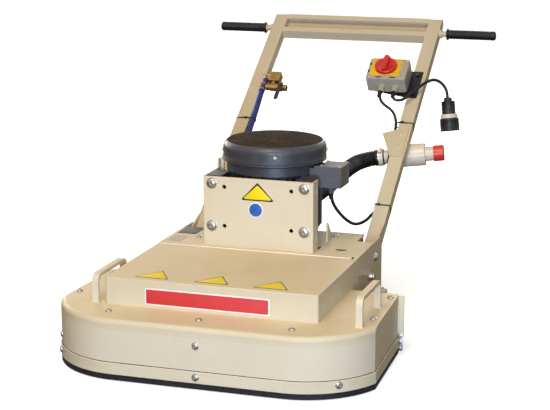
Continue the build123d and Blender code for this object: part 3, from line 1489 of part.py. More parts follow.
with BuildPart() as handle_brackets:
    # gusset plate and web that hold the dust tube
    with BuildSketch(handle_face(tube_front)):
        with BuildLine():
            Polyline(
                (tube_inner_x - gusset_in, dust_s + gusset_high - 26),
                (tube_inner_x, dust_s + gusset_high - 6), (tube_inner_x + gusset_over, dust_s + gusset_high),
                (tube_inner_x + gusset_over, dust_s - gusset_low), (tube_inner_x, dust_s - gusset_low),
                close=True)
        make_face()
    extrude(amount=bracket_plate_t)
    with BuildSketch(handle_side(tube_inner_x - bracket_plate_t)):
        with Locations((dust_s + (web_high - web_low) / 2, (tube_front + tube_n - dust_behind) / 2)):
            Rectangle(web_high + web_low, tube_front - tube_n + dust_behind)
    extrude(amount=bracket_plate_t)
    with BuildSketch(dust_plane(0)):
        Circle(dust_tube_r)
    extrude(amount=nose_far, mode=Mode.SUBTRACT)
    # plate on the left tube for the water fittings
    with BuildSketch(handle_face(tube_front)):
        with BuildLine():
            plate_far = -tube_inner_x - gusset_over
            plate_near = -tube_inner_x + water_plate_in
            tap_plate_low, tap_plate_high = valve_block_s - water_plate_half, valve_block_s + water_plate_half
            Polyline(
                (plate_far, tap_plate_low), (plate_far, tap_plate_high),
                (plate_near - water_plate_slope, tap_plate_high), (plate_near, tap_plate_high - water_plate_drop),
                (plate_near, tap_plate_low + water_plate_drop), (plate_near - water_plate_slope, tap_plate_low),
                close=True)
        make_face()
    extrude(amount=bracket_plate_t)
    plate_bolts = [
        (tube_x - 5.5, dust_s + 39.8), (tube_x - 4.8, dust_s - 17.6),
        (-tube_x - 6.5, valve_block_s + 18.6), (-tube_x - 3, valve_block_s - 18.5)]
    for x, s in plate_bolts:
        with BuildSketch(handle_face(tube_front + bracket_plate_t)):
            with Locations((x, s)):
                Circle(plate_bolt_r)
        extrude(amount=plate_bolt_h, taper=30)
write(handle_brackets, "handle_brackets")

# ---- water valve on the left tube ---------------------------------------------------------------------
plate_top = tube_front + bracket_plate_t
valve_axis_n = plate_top + valve_block_d / 2
with BuildPart() as valve_body:
    with BuildSketch(handle_face(plate_top)):
        with Locations((valve_block_x, valve_block_s)):
            Rectangle(valve_block_w, valve_block_h)
    extrude(amount=valve_block_d)
    fillet(valve_body.edges(), 2)
    # neck down to the valve, then the valve barrel across the handle
    with BuildSketch(Plane(origin=handle_point(valve_block_x, valve_s, valve_axis_n), z_dir=along)):
        Circle(valve_r - 4)
    extrude(amount=valve_block_s - valve_s)
    barrel = Plane(origin=handle_point(valve_x, valve_s, valve_axis_n), z_dir=across)
    for reach, radius, length in (
            (0, valve_r - 2, 16), (16, valve_r, valve_l - 32), (valve_l - 16, valve_r - 2, 16)):
        with BuildSketch(barrel.offset(reach)):
            Circle(radius)
        extrude(amount=length)
    with BuildSketch(barrel.offset(valve_l)):
        Circle(valve_r - 5)
    extrude(amount=-valve_l + 20, mode=Mode.SUBTRACT)
    with BuildSketch(handle_face(valve_axis_n)):
        with Locations((valve_stem_x, valve_s)):
            Circle(valve_r - 5)
    extrude(amount=valve_r + 3)
    with BuildSketch(handle_face(valve_axis_n + valve_r + 3)):
        with Locations((valve_stem_x, valve_s)):
            Circle(valve_stem_r)
    extrude(amount=valve_lever_t + 4)
    # elbow to the hose
    block_centre = handle_point(valve_block_x, valve_block_s, valve_axis_n)
    with BuildSketch(Plane(origin=block_centre, z_dir=-across)):
        Circle(water_hose_r - 2)
    extrude(amount=valve_block_x - water_elbow_x + 4)
    elbow_centre = handle_point(water_elbow_x, valve_block_s, valve_axis_n)
    with BuildSketch(Plane(origin=elbow_centre + along * 6, z_dir=-along)):
        Circle(water_hose_r - 1)
    extrude(amount=16)
    with BuildSketch(Plane(origin=elbow_centre, z_dir=-along)):
        Circle(water_barb_r)
    extrude(amount=12 + water_barb_l)
write(valve_body, "valve_body")

with BuildPart() as valve_lever:
    with BuildSketch(handle_face(valve_axis_n + valve_r + 3 + clearance)):
        with Locations((valve_stem_x, valve_s)):
            Circle(valve_r - 4)
        with BuildLine():
            lever_end = valve_s - valve_lever_l
            Polyline(
                (valve_stem_x - 6, valve_s), (valve_stem_x - 7, lever_end + 8), (valve_stem_x, lever_end),
                (valve_stem_x + 7, lever_end + 8), (valve_stem_x + 6, valve_s), close=True)
        make_face()
        with Locations((valve_stem_x, valve_s)):
            Circle(valve_stem_r + running_gap, mode=Mode.SUBTRACT)
    extrude(amount=valve_lever_t)
write(valve_lever, "valve_lever")

# ---- hoses and cables -------------------------------------------------------------------------------
hose_end = dust_start + dust_way * dust_hose_over
hose_turn = dust_start + dust_way * (dust_hose_over - 70)
tube_along(
    "dust_hose",
    [
        (duct_x, elbow_axis_y, elbow_top - 26), (duct_x, elbow_axis_y, 286), (48, chassis_back + 120, 330),
        (85, chassis_back + 210, 358), (110, chassis_back + 305, 390), hose_turn, hose_end,
    ],
    dust_hose_r, dust_stub_r + fit_gap)

left_run = -tube_inner_x + 10.5     # hoses and cables run behind the tubes' inner edges
right_run = tube_inner_x - 10.5
hose_rest = [
    (water_elbow_x, 708, valve_axis_n), (left_run + 1, 630, -22), (left_run + 0.5, 500, -34),
    (left_run, 350, -40), (left_run + 2, 240, -52),
]
tube_along(
    "water_hose",
    [handle_point(water_elbow_x, valve_block_s - 12, valve_axis_n)]
    + [handle_point(*p) for p in hose_rest]
    + [(left_run + 18, chassis_back + 112, 268), (left_run + 45, chassis_back + 90, 240),
       (water_port_x, chassis_back + 66, water_port_z),
       (water_port_x, chassis_back + water_nut_t, water_port_z)],
    water_hose_r, water_barb_r + fit_gap)

motor_lead_rest = [
    (motor_lead_gland_x, 692, gland_n), (right_run - 54, 662, 5), (right_run - 18, 648, -8),
    (right_run - 1, 612, -28), (right_run - 2, 560, -42), (right_run - 3, 500, -50), (right_run, 450, -62),
    (right_run + 15, 395, -65), (right_run + 30, 340, -64), (right_run + 28, 290, -64),
    (right_run + 12, 250, -65), (right_run - 5, 226, -58),
]
tube_along(
    "motor_lead",
    [handle_point(motor_lead_gland_x, gland_top_s, gland_n)]
    + [handle_point(*p) for p in motor_lead_rest]
    + [(right_run - 12, chassis_back + 112, 276), (right_run - 28, chassis_back + 80, 268),
       (210, chassis_back + 42, 274), (199, chassis_back - 5, 298), (191, chassis_back - 58, 332),
       (187, chassis_back - 102, 364), (motor_gland_x, terminal_y_mid, 396),
       (motor_gland_x, terminal_y_mid, terminal_low - 4)],
    lead_r)

plug_lead_rest = [
    (plug_lead_gland_x, 691.9, gland_n), (plug_lead_gland_x + 12.9, 679, gland_n),
    (plug_lead_gland_x + 31.1, 679, gland_n), (tube_x - 17.5, 691.9, 10), (tube_x - 5.5, 712, 9),
    (tube_x + 7.5, 735, 6), (tube_x + 20.5, 762, 3), (tube_x + 37.5, 784, 2), (tube_x + 56.5, 795, 4),
    (tube_x + 80.5, 783, 10), (tube_x + 102.5, 760, 11), (tube_x + 116.5, 737, 3), (tube_x + 120.5, 716, -19),
]
tube_along(
    "plug_lead",
    [handle_point(plug_lead_gland_x, gland_top_s, gland_n)]
    + [handle_point(*p) for p in plug_lead_rest],
    lead_r)

lead_end = handle_point(*plug_lead_rest[-1])
plug_way = (lead_end - handle_point(*plug_lead_rest[-2])).normalized()
plug_back = lead_end - plug_way * plug_grip_over


def plug_slice(reach, radius, length):
    with BuildPart(mode=Mode.PRIVATE) as piece:
        with BuildSketch(Plane(origin=plug_back + plug_way * reach, z_dir=plug_way)):
            Circle(radius)
        extrude(amount=length)
    return piece.part


with BuildPart() as plug:
    add(plug_slice(0, plug_boot_r, plug_boot_l))
    add(plug_slice(plug_boot_l * 0.6, plug_body_r, plug_body_l))
    add(plug_slice(plug_boot_l * 0.6 + plug_body_l, plug_r, plug_ring_l))
    add(plug_slice(plug_boot_l * 0.6 + plug_body_l + plug_ring_l, plug_collar_r, plug_collar_l))
    pins_at = plug_boot_l * 0.6 + plug_body_l + plug_ring_l + 6
    add(plug_slice(pins_at, plug_collar_r - 3, plug_collar_l), mode=Mode.SUBTRACT)
    with BuildSketch(Plane(origin=plug_back + plug_way * (pins_at - 2), z_dir=plug_way)):
        with PolarLocations(plug_pin_circle_r, 3):
            Circle(plug_pin_r)
    extrude(amount=plug_pin_l)
    add(plug_slice(0, lead_r, plug_grip_over), mode=Mode.SUBTRACT)
write(plug, "plug")

# ---- bolts of one pattern ---------------------------------------------------------------------------
with BuildPart() as case_bolts:
    for x, y in top_bolt_points:
        with Locations((x, y, head_top)):
            add(domed_bolt(bolt_head_r, bolt_head_h, bolt_shank_r, bolt_shank_l))
    for seat in side_bolts + band_bolts:
        with Locations(seat):
            add(domed_bolt(bolt_head_r, bolt_head_h, bolt_shank_r, bolt_shank_l))
    for x, y in deck_bolt_points:
        with Locations((x, y, cover_top)):
            add(domed_bolt(bolt_head_r, bolt_head_h, bolt_shank_r, bolt_shank_l))
    # larger ones that hold the motor feet
    for x in (-motor_bolt_x, motor_bolt_x):
        for z in (motor_bolt_low, motor_bolt_high):
            with Locations(Plane(origin=(x, bracket_y, z), z_dir=(0, -1, 0))):
                add(domed_bolt(motor_bolt_head_r, motor_bolt_head_h, motor_bolt_r, motor_bolt_l))
write(case_bolts, "case_bolts")
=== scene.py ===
import math
import bmesh
import bpy
from mathutils import Matrix, Vector, geometry


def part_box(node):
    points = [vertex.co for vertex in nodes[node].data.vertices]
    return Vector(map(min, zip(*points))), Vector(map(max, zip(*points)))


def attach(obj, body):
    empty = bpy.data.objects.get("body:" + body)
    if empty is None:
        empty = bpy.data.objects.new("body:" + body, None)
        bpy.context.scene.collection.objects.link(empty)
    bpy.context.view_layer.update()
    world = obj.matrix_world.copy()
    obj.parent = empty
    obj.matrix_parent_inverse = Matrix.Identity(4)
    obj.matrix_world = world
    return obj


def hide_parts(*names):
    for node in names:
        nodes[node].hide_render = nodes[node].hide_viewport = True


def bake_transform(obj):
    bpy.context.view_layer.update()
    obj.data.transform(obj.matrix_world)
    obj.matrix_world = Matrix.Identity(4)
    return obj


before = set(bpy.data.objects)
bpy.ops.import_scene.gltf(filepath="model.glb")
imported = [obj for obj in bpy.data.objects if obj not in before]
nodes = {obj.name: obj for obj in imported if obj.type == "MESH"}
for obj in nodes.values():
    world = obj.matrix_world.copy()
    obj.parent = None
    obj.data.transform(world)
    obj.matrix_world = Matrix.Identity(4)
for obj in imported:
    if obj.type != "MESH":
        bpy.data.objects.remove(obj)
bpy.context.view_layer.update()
mm = 0.001
print("frame loaded:", len(nodes), "nodes")


# ---------- places shared with the solids, mm ----------
handle = {"pivotY": -103.0, "pivotZ": 207.0, "lean": math.radians(34.8), "tubeFront": -20.0,
          "tubeBack": -54.0, "tubeInner": 260.5, "tubeOuter": 306.5}
head = {"front": -853.0, "top": 176.0, "arcR": 237.0, "arcY": -616.0, "arcLeft": -235.0, "arcRight": 250.0}
cover = {"front": -716.0, "back": -318.0, "top": 255.0}
bracketFront = head["front"] + 555.4
across = Vector((1, 0, 0))
rearward = Vector((0, 1, 0))
upward = Vector((0, 0, 1))
# the handle's own directions: up along its tubes and out of its front
along = Vector((0, math.cos(handle["lean"]), math.sin(handle["lean"])))
outward = Vector((0, -math.sin(handle["lean"]), math.cos(handle["lean"])))


def axesAt(x, y, z, at):
    # a place with these local axes, at a point in metres
    m = Matrix((x, y, z)).transposed().to_4x4()
    m.translation = at
    return m


def upright(x, y, z):
    # a place that keeps the world's axes; x, y and z in mm
    return Matrix.Translation(Vector((x, y, z)) * mm)


def looking(normal, up, at):
    # local z along the normal, local y as near to up as it can be; at in metres
    z = normal.normalized()
    x = up.cross(z).normalized()
    return axesAt(x, z.cross(x), z, at)


def forward(x, y, z):
    # a place that looks out of the machine's front; x, y and z in mm
    return looking(-rearward, upward, Vector((x, y, z)) * mm)


def spun(place, degrees):
    return place @ Matrix.Rotation(math.radians(degrees), 4, "Z")


def turned(degrees, radius=1.0):
    # the point of a circle at this angle
    return radius * math.cos(math.radians(degrees)), radius * math.sin(math.radians(degrees))


def handlePoint(x, s, n):
    # s is measured up the handle from its pivot, n out of its front
    return (Vector((x, handle["pivotY"], handle["pivotZ"])) + along * s + outward * n) * mm


def handleMatrix(x, s, n):
    # local x across, local y up the handle, local z out of its front
    return axesAt(across, along, outward, handlePoint(x, s, n))


# ---------- materials ----------
def hexColor(code):
    raw = [int(code[i:i + 2], 16) / 255 for i in (1, 3, 5)]
    return [c / 12.92 if c <= 0.04045 else ((c + 0.055) / 1.055) ** 2.4 for c in raw] + [1.0]


def addNode(tree, kind, settings=None, inputs=None):
    # settings are the node's own fields; an input takes a value or another node's socket
    node = tree.nodes.new(kind)
    for field, value in (settings or {}).items():
        setattr(node, field, value)
    for key, value in (inputs or {}).items():
        if isinstance(value, bpy.types.NodeSocket):
            tree.links.new(value, node.inputs[key])
        else:
            node.inputs[key].default_value = value
    return node


def mainShader(tree):
    return next(n for n in tree.nodes if n.type == "BSDF_PRINCIPLED")


def newMaterial(name, sockets):
    material = bpy.data.materials.new(name)
    material.use_nodes = True
    for key, value in sockets.items():
        mainShader(material.node_tree).inputs[key].default_value = value
    return material


def clouds(tree, size, detail, roughness=0.5, stretch=None, spread=None):
    # cloudy pattern, size in mm; spread takes its values from between the first two to between the last two
    coords = addNode(tree, "ShaderNodeTexCoord").outputs["Object"]
    if stretch:
        coords = addNode(tree, "ShaderNodeMapping", inputs={"Vector": coords, "Scale": stretch}).outputs[0]
    pattern = addNode(tree, "ShaderNodeTexNoise", inputs={
        "Vector": coords, "Scale": 1 / (size * mm), "Detail": detail, "Roughness": roughness}).outputs["Fac"]
    if not spread:
        return pattern
    limits = dict(zip(("From Min", "From Max", "To Min", "To Max"), spread))
    return addNode(tree, "ShaderNodeMapRange", inputs={"Value": pattern, **limits}).outputs["Result"]


def overlay(tree, share, code):
    # lays one more colour over those that the material has so far
    under = mainShader(tree).inputs["Base Color"]
    below = under.links[0].from_socket if under.is_linked else list(under.default_value)
    mix = addNode(tree, "ShaderNodeMix", {"data_type": "RGBA"}, {0: share, 6: below, 7: hexColor(code)})
    tree.links.new(mix.outputs[2], under)


def dressedMaterial(name, colors, sockets, patches, gloss, grain, depth, strength):
    # patches of the second colour, uneven gloss (none where it is dead matt) and a fine relief; depth in mm
    material = newMaterial(name, {"Base Color": hexColor(colors[0]), **sockets})
    tree = material.node_tree
    overlay(tree, clouds(tree, **patches), colors[1])
    if gloss:
        tree.links.new(clouds(tree, **gloss), mainShader(tree).inputs["Roughness"])
    relief = addNode(tree, "ShaderNodeBump", inputs={
        "Height": clouds(tree, **grain), "Distance": depth * mm, "Strength": strength})
    tree.links.new(relief.outputs["Normal"], mainShader(tree).inputs["Normal"])
    return material


def powderCoat(name, base, dirt, roughness=0.48):
    # sprayed and baked polyester on sheet steel: orange peel, a little grime, worn lighter on its edges
    material = dressedMaterial(
        name, (base, dirt), {"IOR": 1.33, "Coat Weight": 0.07, "Coat Roughness": 0.16},
        patches={"size": 160, "detail": 6, "roughness": 0.62, "spread": (0.45, 0.75, 0, 0.22)},
        gloss={"size": 70, "detail": 5, "spread": (0.3, 0.7, roughness - 0.08, roughness + 0.1)},
        # orange peel is about 1 mm across, drawn coarser so that it shows
        grain={"size": 2.2, "detail": 2}, depth=0.12, strength=0.35)
    tree = material.node_tree
    # slurry has run down it
    runs = clouds(tree, 50, 4, 0.7, stretch=(1, 1, 0.22), spread=(0.55, 0.8, 0, 0.14))
    overlay(tree, runs, dirt)
    edges = addNode(tree, "ShaderNodeNewGeometry").outputs["Pointiness"]
    worn = addNode(tree, "ShaderNodeMapRange", inputs={
        "Value": edges, "From Min": 0.54, "From Max": 0.62, "To Min": 0, "To Max": 0.35})
    overlay(tree, worn.outputs["Result"], "#E8DCC4")
    return material


def enamel(name, base, dirt):
    # brushed-on machinery enamel over a casting: sandy skin, soft gloss, darker oily patches
    return dressedMaterial(
        name, (base, dirt), {"IOR": 1.5},
        patches={"size": 50, "detail": 6, "roughness": 0.6, "spread": (0.4, 0.75, 0, 0.55)},
        gloss={"size": 20, "detail": 4, "spread": (0.3, 0.7, 0.3, 0.5)},
        grain={"size": 1.8, "detail": 3}, depth=0.3, strength=0.4)


def oilyDust(name, base, dark):
    # oily dust and painted shade on whatever faces up: brown, patchy, with no gloss of its own, dark like the
    # reflection that lies there
    return dressedMaterial(
        name, (base, dark), {"Roughness": 0.95, "Specular IOR Level": 0.05},
        patches={"size": 50, "detail": 5, "roughness": 0.6, "spread": (0.35, 0.65, 0, 1)},
        gloss=None, grain={"size": 2.5, "detail": 3}, depth=0.3, strength=0.4)


def plainRubber(name, base, dust, roughness=0.7):
    # moulded EPDM: dead matt with pale dust lying on it
    return dressedMaterial(
        name, (base, dust), {"IOR": 1.4},
        patches={"size": 30, "detail": 6, "roughness": 0.65, "spread": (0.45, 0.8, 0, 0.5)},
        gloss={"size": 12, "detail": 4, "spread": (0.3, 0.7, roughness - 0.12, roughness + 0.12)},
        grain={"size": 1.2, "detail": 2}, depth=0.2, strength=0.5)


def moulded(name, base, shade, roughness, depth=0.08):
    # injection moulded ABS or nylon: even colour, fine spark-eroded grain
    return dressedMaterial(
        name, (base, shade), {"IOR": 1.46},
        patches={"size": 25, "detail": 4, "spread": (0.4, 0.75, 0, 0.45)},
        gloss={"size": 10, "detail": 3, "spread": (0.3, 0.7, roughness - 0.07, roughness + 0.09)},
        grain={"size": 0.9, "detail": 2}, depth=depth, strength=0.4)


def printedFilm(name, base, shade, roughness):
    # printed vinyl sticker: an even colour like moulded plastic's, but nearly smooth
    return moulded(name, base, shade, roughness, depth=0.02)


def bareMetal(name, base, shade, roughness, grain=1.0):
    # turned, ground or plated metal: fine tool marks and dull stains
    return dressedMaterial(
        name, (base, shade), {"Metallic": 1.0},
        patches={"size": 20, "detail": 5, "roughness": 0.6, "spread": (0.4, 0.75, 0, 0.6)},
        gloss={"size": 8, "detail": 5, "roughness": 0.6,
               "spread": (0.3, 0.7, roughness - 0.08, roughness + 0.14)},
        grain={"size": grain, "detail": 3, "roughness": 0.6}, depth=0.06, strength=0.4)


recipes = {
    "tanPowderCoat": (powderCoat, "#D6C6A5", "#B7A47D"),
    "blackPowderCoat": (powderCoat, "#0A0A0A", "#171513", 0.45),
    "motorEnamel": (enamel, "#39383E", "#2E2B2A"),
    "oilyDust": (oilyDust, "#4A403A", "#352D28"),
    "hoseRubber": (plainRubber, "#070708", "#131213", 0.5),
    # painted highlight: a paler tan for the fold of the cover's hem
    "hemCoat": (powderCoat, "#F3EAD8", "#D9CBB0"),
    "boxEnamel": (enamel, "#57575D", "#46423F"),
    "skirtRubber": (plainRubber, "#151114", "#2C2628"),
    "beltRubber": (plainRubber, "#1C1B1B", "#35322F"),
    "gripRubber": (plainRubber, "#0B090A", "#191615", 0.5),
    "cableRubber": (plainRubber, "#080809", "#161517", 0.55),
    "tyreRubber": (plainRubber, "#232222", "#514B44", 0.8),
    "blackNylon": (moulded, "#09090B", "#141315", 0.46),
    "wheelNylon": (moulded, "#3A3836", "#57514A", 0.5),
    "greyPlastic": (moulded, "#B4AC9A", "#968E7E", 0.45),
    "redPlastic": (moulded, "#D2281A", "#B8201A", 0.32),
    # red plastic of the dust cap, made paler than the knob's red: partly a painted sheen
    "capPlastic": (moulded, "#DE3A33", "#D0322C", 0.32),
    "yellowPlastic": (moulded, "#F0BE14", "#E0AC10", 0.45),
    "creamPlastic": (moulded, "#E6D8C2", "#D8C8AE", 0.32),
    "bluePvc": (moulded, "#1D2C80", "#172463", 0.35),
    "zincPlate": (bareMetal, "#A9A59C", "#7F7A70", 0.36),
    "groundSteel": (bareMetal, "#B9B7B2", "#8E8A84", 0.32),
    "chromePlate": (bareMetal, "#E4E4E4", "#CFCFCF", 0.1),
    "castAlloy": (bareMetal, "#B3B2AF", "#8F8C87", 0.48, 1.6),
    "brassFitting": (bareMetal, "#9E7E48", "#64492A", 0.36),
    "copperWinding": (bareMetal, "#A5562C", "#7A3B20", 0.4),
    "blackPlate": (moulded, "#2B2622", "#3C352E", 0.35),
    "silverLabel": (moulded, "#B9AE98", "#9A8F7B", 0.32),
    "shadowGap": (plainRubber, "#0B0908", "#15110E", 0.9),
    "sinteredBond": (bareMetal, "#8A7A58", "#6B5D42", 0.6, 1.2),
    "redSticker": (printedFilm, "#CB322E", "#C42D2A", 0.55),
    "whiteSticker": (printedFilm, "#F1EFEA", "#DFDAD0", 0.35),
    "yellowSticker": (printedFilm, "#EED600", "#E6CC00", 0.6),
    "ochreSticker": (printedFilm, "#2B2410", "#221C0B", 0.35),
    "blueSticker": (printedFilm, "#2E63B4", "#26549C", 0.3),
}
paints = {name: make(name, *look) for name, (make, *look) in recipes.items()}
print("materials made:", len(paints))

finishes = {
    "tanPowderCoat": ["head_shell", "head_top_plate", "lower_band", "belt_cover", "lift_bars",
                      "chassis_sides", "chassis_deck", "chassis_inner", "dust_duct", "motor_bracket",
                      "upright_left", "upright_right", "cross_channel", "handle_brackets", "grip_rods"],
    "creamPlastic": ["dust_tube"],
    "skirtRubber": ["rubber_skirt"],
    "groundSteel": ["axle", "rotor_shaft", "rotor_core", "idler_post", "bearings", "spindle_left",
                    "spindle_right", "disc_left", "disc_right"],
    "zincPlate": ["frame_fasteners", "lock_bolts", "case_bolts"],
    "tyreRubber": ["tyre_left", "tyre_right"],
    "wheelNylon": ["wheel_hub_left", "wheel_hub_right"],
    "motorEnamel": ["motor_frame", "motor_end_bells", "fan_cowl"],
    "boxEnamel": ["terminal_box", "terminal_lid"],
    "copperWinding": ["stator"],
    "blackNylon": ["cooling_fan", "valve_lever", "plug"],
    "castAlloy": ["motor_pulley", "idler_pulley", "spindle_housings"],
    "beltRubber": ["drive_belt"],
    "sinteredBond": ["diamond_segments_left", "diamond_segments_right"],
    "gripRubber": ["grips"],
    "hoseRubber": ["dust_hose"],
    "chromePlate": ["lock_lever"],
    "blackPowderCoat": ["switch_bracket"],
    "greyPlastic": ["switch_box", "switch_lid"],
    "redPlastic": ["switch_knob"],
    "capPlastic": ["dust_cap"],
    "brassFitting": ["valve_body"],
    "bluePvc": ["water_hose"],
    "cableRubber": ["motor_lead", "plug_lead"],
}
for finish, names in finishes.items():
    for name in names:
        data = nodes[name].data
        data.materials.clear()
        data.materials.append(paints[finish])
missing = set(nodes) - {n for names in finishes.values() for n in names}
if missing:
    print("nodes with no finish:", missing)

# oily dust and painted shade on the faces of the fan cowl that look up
levelNormal = 0.9
cowl = nodes["fan_cowl"].data
cowl.materials.append(paints["oilyDust"])
for face in cowl.polygons:
    if face.normal.z > levelNormal:
        face.material_index = 1
print("finishes given")

# ---------- camera, light, floor ----------
# place in metres, angles in degrees, sensor and lens in mm
view = {"at": (1.4578, -4.6158, 1.4432), "tilt": 77, "turn": 18, "sensor": 36, "lens": 102.84, "reach": 60}
cameraData = bpy.data.cameras.new("camera")
camera = bpy.data.objects.new("camera", cameraData)
bpy.context.scene.collection.objects.link(camera)
camera.location = view["at"]
camera.rotation_euler = (math.radians(view["tilt"]), 0, math.radians(view["turn"]))
cameraData.sensor_width = view["sensor"]
cameraData.lens = view["lens"]
cameraData.clip_end = view["reach"]
bpy.context.scene.camera = camera
bpy.context.scene.view_settings.view_transform = "Standard"


def anyRay(tree, *kinds):
    # 1 where the ray is of one of these kinds
    rays = addNode(tree, "ShaderNodeLightPath").outputs
    found = rays[kinds[0]]
    for kind in kinds[1:]:
        either = addNode(tree, "ShaderNodeMath", {"operation": "MAXIMUM"}, {0: found, 1: rays[kind]})
        found = either.outputs[0]
    return found


studio = {"ambient": "#FFE6B4", "ambientStrength": 0.12, "backdrop": "#FFFFFF", "backdropStrength": 1.0}
world = bpy.data.worlds.new("studio")
bpy.context.scene.world = world
world.use_nodes = True
sky = world.node_tree
sky.nodes.clear()
ambient = addNode(sky, "ShaderNodeBackground", inputs={
    "Color": hexColor(studio["ambient"]), "Strength": studio["ambientStrength"]})
backdrop = addNode(sky, "ShaderNodeBackground", inputs={
    "Color": hexColor(studio["backdrop"]), "Strength": studio["backdropStrength"]})
# the backdrop is only looked at and mirrored; the ambient colour is what lights the machine
blend = addNode(sky, "ShaderNodeMixShader", inputs={
    0: anyRay(sky, "Is Camera Ray", "Is Transmission Ray", "Is Glossy Ray"),
    1: ambient.outputs[0], 2: backdrop.outputs[0]})
addNode(sky, "ShaderNodeOutputWorld", inputs={"Surface": blend.outputs[0]})

# places in metres; the corner strip is only there to be mirrored by the paint
lamps = {
    "frontFill": {"at": (1.3, -4.2, 0.6), "to": (0, -0.6, 0.1), "size": (1.6, 1.4), "watts": 152,
                  "tint": "#BDD8FF", "diffuse": True},
    "ceilingPanel": {"at": (0.2, -2.6, 3.4), "to": (0, -0.4, 0.1), "size": (2, 1.6), "watts": 106,
                     "tint": "#FFEED0", "diffuse": True},
    "rearFill": {"at": (0.2, 4.4, 1.4), "to": (0, 0, 0.3), "size": (2, 1.4), "watts": 75,
                 "tint": "#FFF4E4", "diffuse": True},
    "rearSideFill": {"at": (-3.2, 2.4, 1.4), "to": (0, 0, 0.3), "size": (2, 1.4), "watts": 55,
                     "tint": "#FFF4E4", "diffuse": True},
    "cornerStrip": {"at": (2.3, -3.5, 0.8), "to": (0.3, -0.7, 0.1), "size": (0.25, 1.6), "watts": 14,
                    "tint": "#EEF2FF", "diffuse": False},
}
for name, lamp in lamps.items():
    data = bpy.data.lights.new(name, "AREA")
    data.shape = "RECTANGLE"
    data.size, data.size_y = lamp["size"]
    data.energy = lamp["watts"]
    data.color = hexColor(lamp["tint"])[:3]
    light = bpy.data.objects.new(name, data)
    bpy.context.scene.collection.objects.link(light)
    light.visible_diffuse = lamp["diffuse"]
    light.location = lamp["at"]
    light.rotation_euler = (Vector(lamp["to"]) - Vector(lamp["at"])).to_track_quat("-Z", "Y").to_euler()

paper = {"half": 14, "sink": 0.0005, "tint": "#E9EEF8", "roughness": 0.9, "cards": "#8F8470",
         "glowFrom": 0.5, "glowTo": 1.8, "glowLow": 0.48, "glowHigh": 1.0}
floorMesh = bmesh.new()
bmesh.ops.create_grid(floorMesh, x_segments=1, y_segments=1, size=paper["half"])
floorData = bpy.data.meshes.new("floor")
floorMesh.to_mesh(floorData)
floorMesh.free()
floor = bpy.data.objects.new("floor", floorData)
bpy.context.scene.collection.objects.link(floor)
floor.location = (0, 0, -paper["sink"])
floorPaint = newMaterial("paleFloor", {
    "Base Color": hexColor(paper["tint"]), "Roughness": paper["roughness"]})
floorTree = floorPaint.node_tree
# the paper sweep is lit from below, more the further it lies from the machine
floorCoords = addNode(floorTree, "ShaderNodeTexCoord").outputs["Object"]
floorWay = addNode(floorTree, "ShaderNodeVectorMath", {"operation": "LENGTH"}, {0: floorCoords})
floorLight = addNode(floorTree, "ShaderNodeMapRange", inputs={
    "Value": floorWay.outputs["Value"], "From Min": paper["glowFrom"], "From Max": paper["glowTo"],
    "To Min": paper["glowLow"], "To Max": paper["glowHigh"]})
floorGlow = addNode(floorTree, "ShaderNodeEmission", inputs={
    "Color": hexColor("#FFFFFF"), "Strength": floorLight.outputs["Result"]})
floorLit = addNode(floorTree, "ShaderNodeAddShader", inputs={
    0: mainShader(floorTree).outputs[0], 1: floorGlow.outputs[0]})
# dull cards laid out of sight keep the paper from lighting the machine's sides
floorCards = addNode(floorTree, "ShaderNodeBsdfDiffuse", inputs={"Color": hexColor(paper["cards"])})
floorMix = addNode(floorTree, "ShaderNodeMixShader", inputs={
    0: anyRay(floorTree, "Is Camera Ray", "Is Transmission Ray"),
    1: floorCards.outputs[0], 2: floorLit.outputs[0]})
floorOut = next(n for n in floorTree.nodes if n.type == "OUTPUT_MATERIAL")
floorTree.links.new(floorMix.outputs[0], floorOut.inputs["Surface"])
floorData.materials.append(floorPaint)
print("camera, lamps and floor ready")


# ---------- helpers for built pieces ----------
def finishPiece(name, bm, finish, body=None, smoothAngle=35, replaces=()):
    data = bpy.data.meshes.new(name)
    bmesh.ops.recalc_face_normals(bm, faces=bm.faces)
    bm.to_mesh(data)
    bm.free()
    data.materials.append(paints[finish])
    data.shade_smooth()
    data.set_sharp_from_angle(angle=math.radians(smoothAngle))
    piece = bpy.data.objects.new(name, data)
    bpy.context.scene.collection.objects.link(piece)
    if body:
        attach(piece, body)
    if replaces:
        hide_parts(*replaces)
    return piece


def addLathe(bm, profile, matrix, segments, closed=False):
    # profile is (radius, height) in mm, turned about local z
    rings = []
    for radius, height in profile:
        if radius < 1e-6:
            rings.append([bm.verts.new(matrix @ Vector((0, 0, height * mm)))])
            continue
        rings.append([bm.verts.new(matrix @ Vector((
            radius * mm * math.cos(2 * math.pi * i / segments),
            radius * mm * math.sin(2 * math.pi * i / segments), height * mm))) for i in range(segments)])
    pairs = list(zip(rings, rings[1:])) + ([(rings[-1], rings[0])] if closed else [])
    for low, high in pairs:
        for i in range(segments):
            j = (i + 1) % segments
            corners = [low[i % len(low)], low[j % len(low)], high[j % len(high)], high[i % len(high)]]
            corners = list(dict.fromkeys(corners))
            if len(corners) > 2:
                bm.faces.new(corners)


def addPrism(bm, outline, depth, matrix, edge, edgeSegments=2):
    # outline is x, y in mm; the solid stands from local z 0 to depth, its top edge rounded
    verts = [bm.verts.new(Vector((x * mm, y * mm, 0))) for x, y in outline]
    out = bmesh.ops.extrude_face_region(bm, geom=[bm.faces.new(verts)])
    top = [g for g in out["geom"] if isinstance(g, bmesh.types.BMVert)]
    cap = next(g for g in out["geom"] if isinstance(g, bmesh.types.BMFace))
    bmesh.ops.translate(bm, verts=top, vec=(0, 0, depth * mm))
    made = bmesh.ops.bevel(bm, geom=list(cap.edges), offset=edge * mm, segments=edgeSegments, profile=0.5,
                           affect="EDGES")
    solid = {v for v in verts + top if v.is_valid} | set(made["verts"])
    if cap.is_valid:
        solid |= set(cap.verts)
    bmesh.ops.transform(bm, matrix=matrix, verts=list(solid))


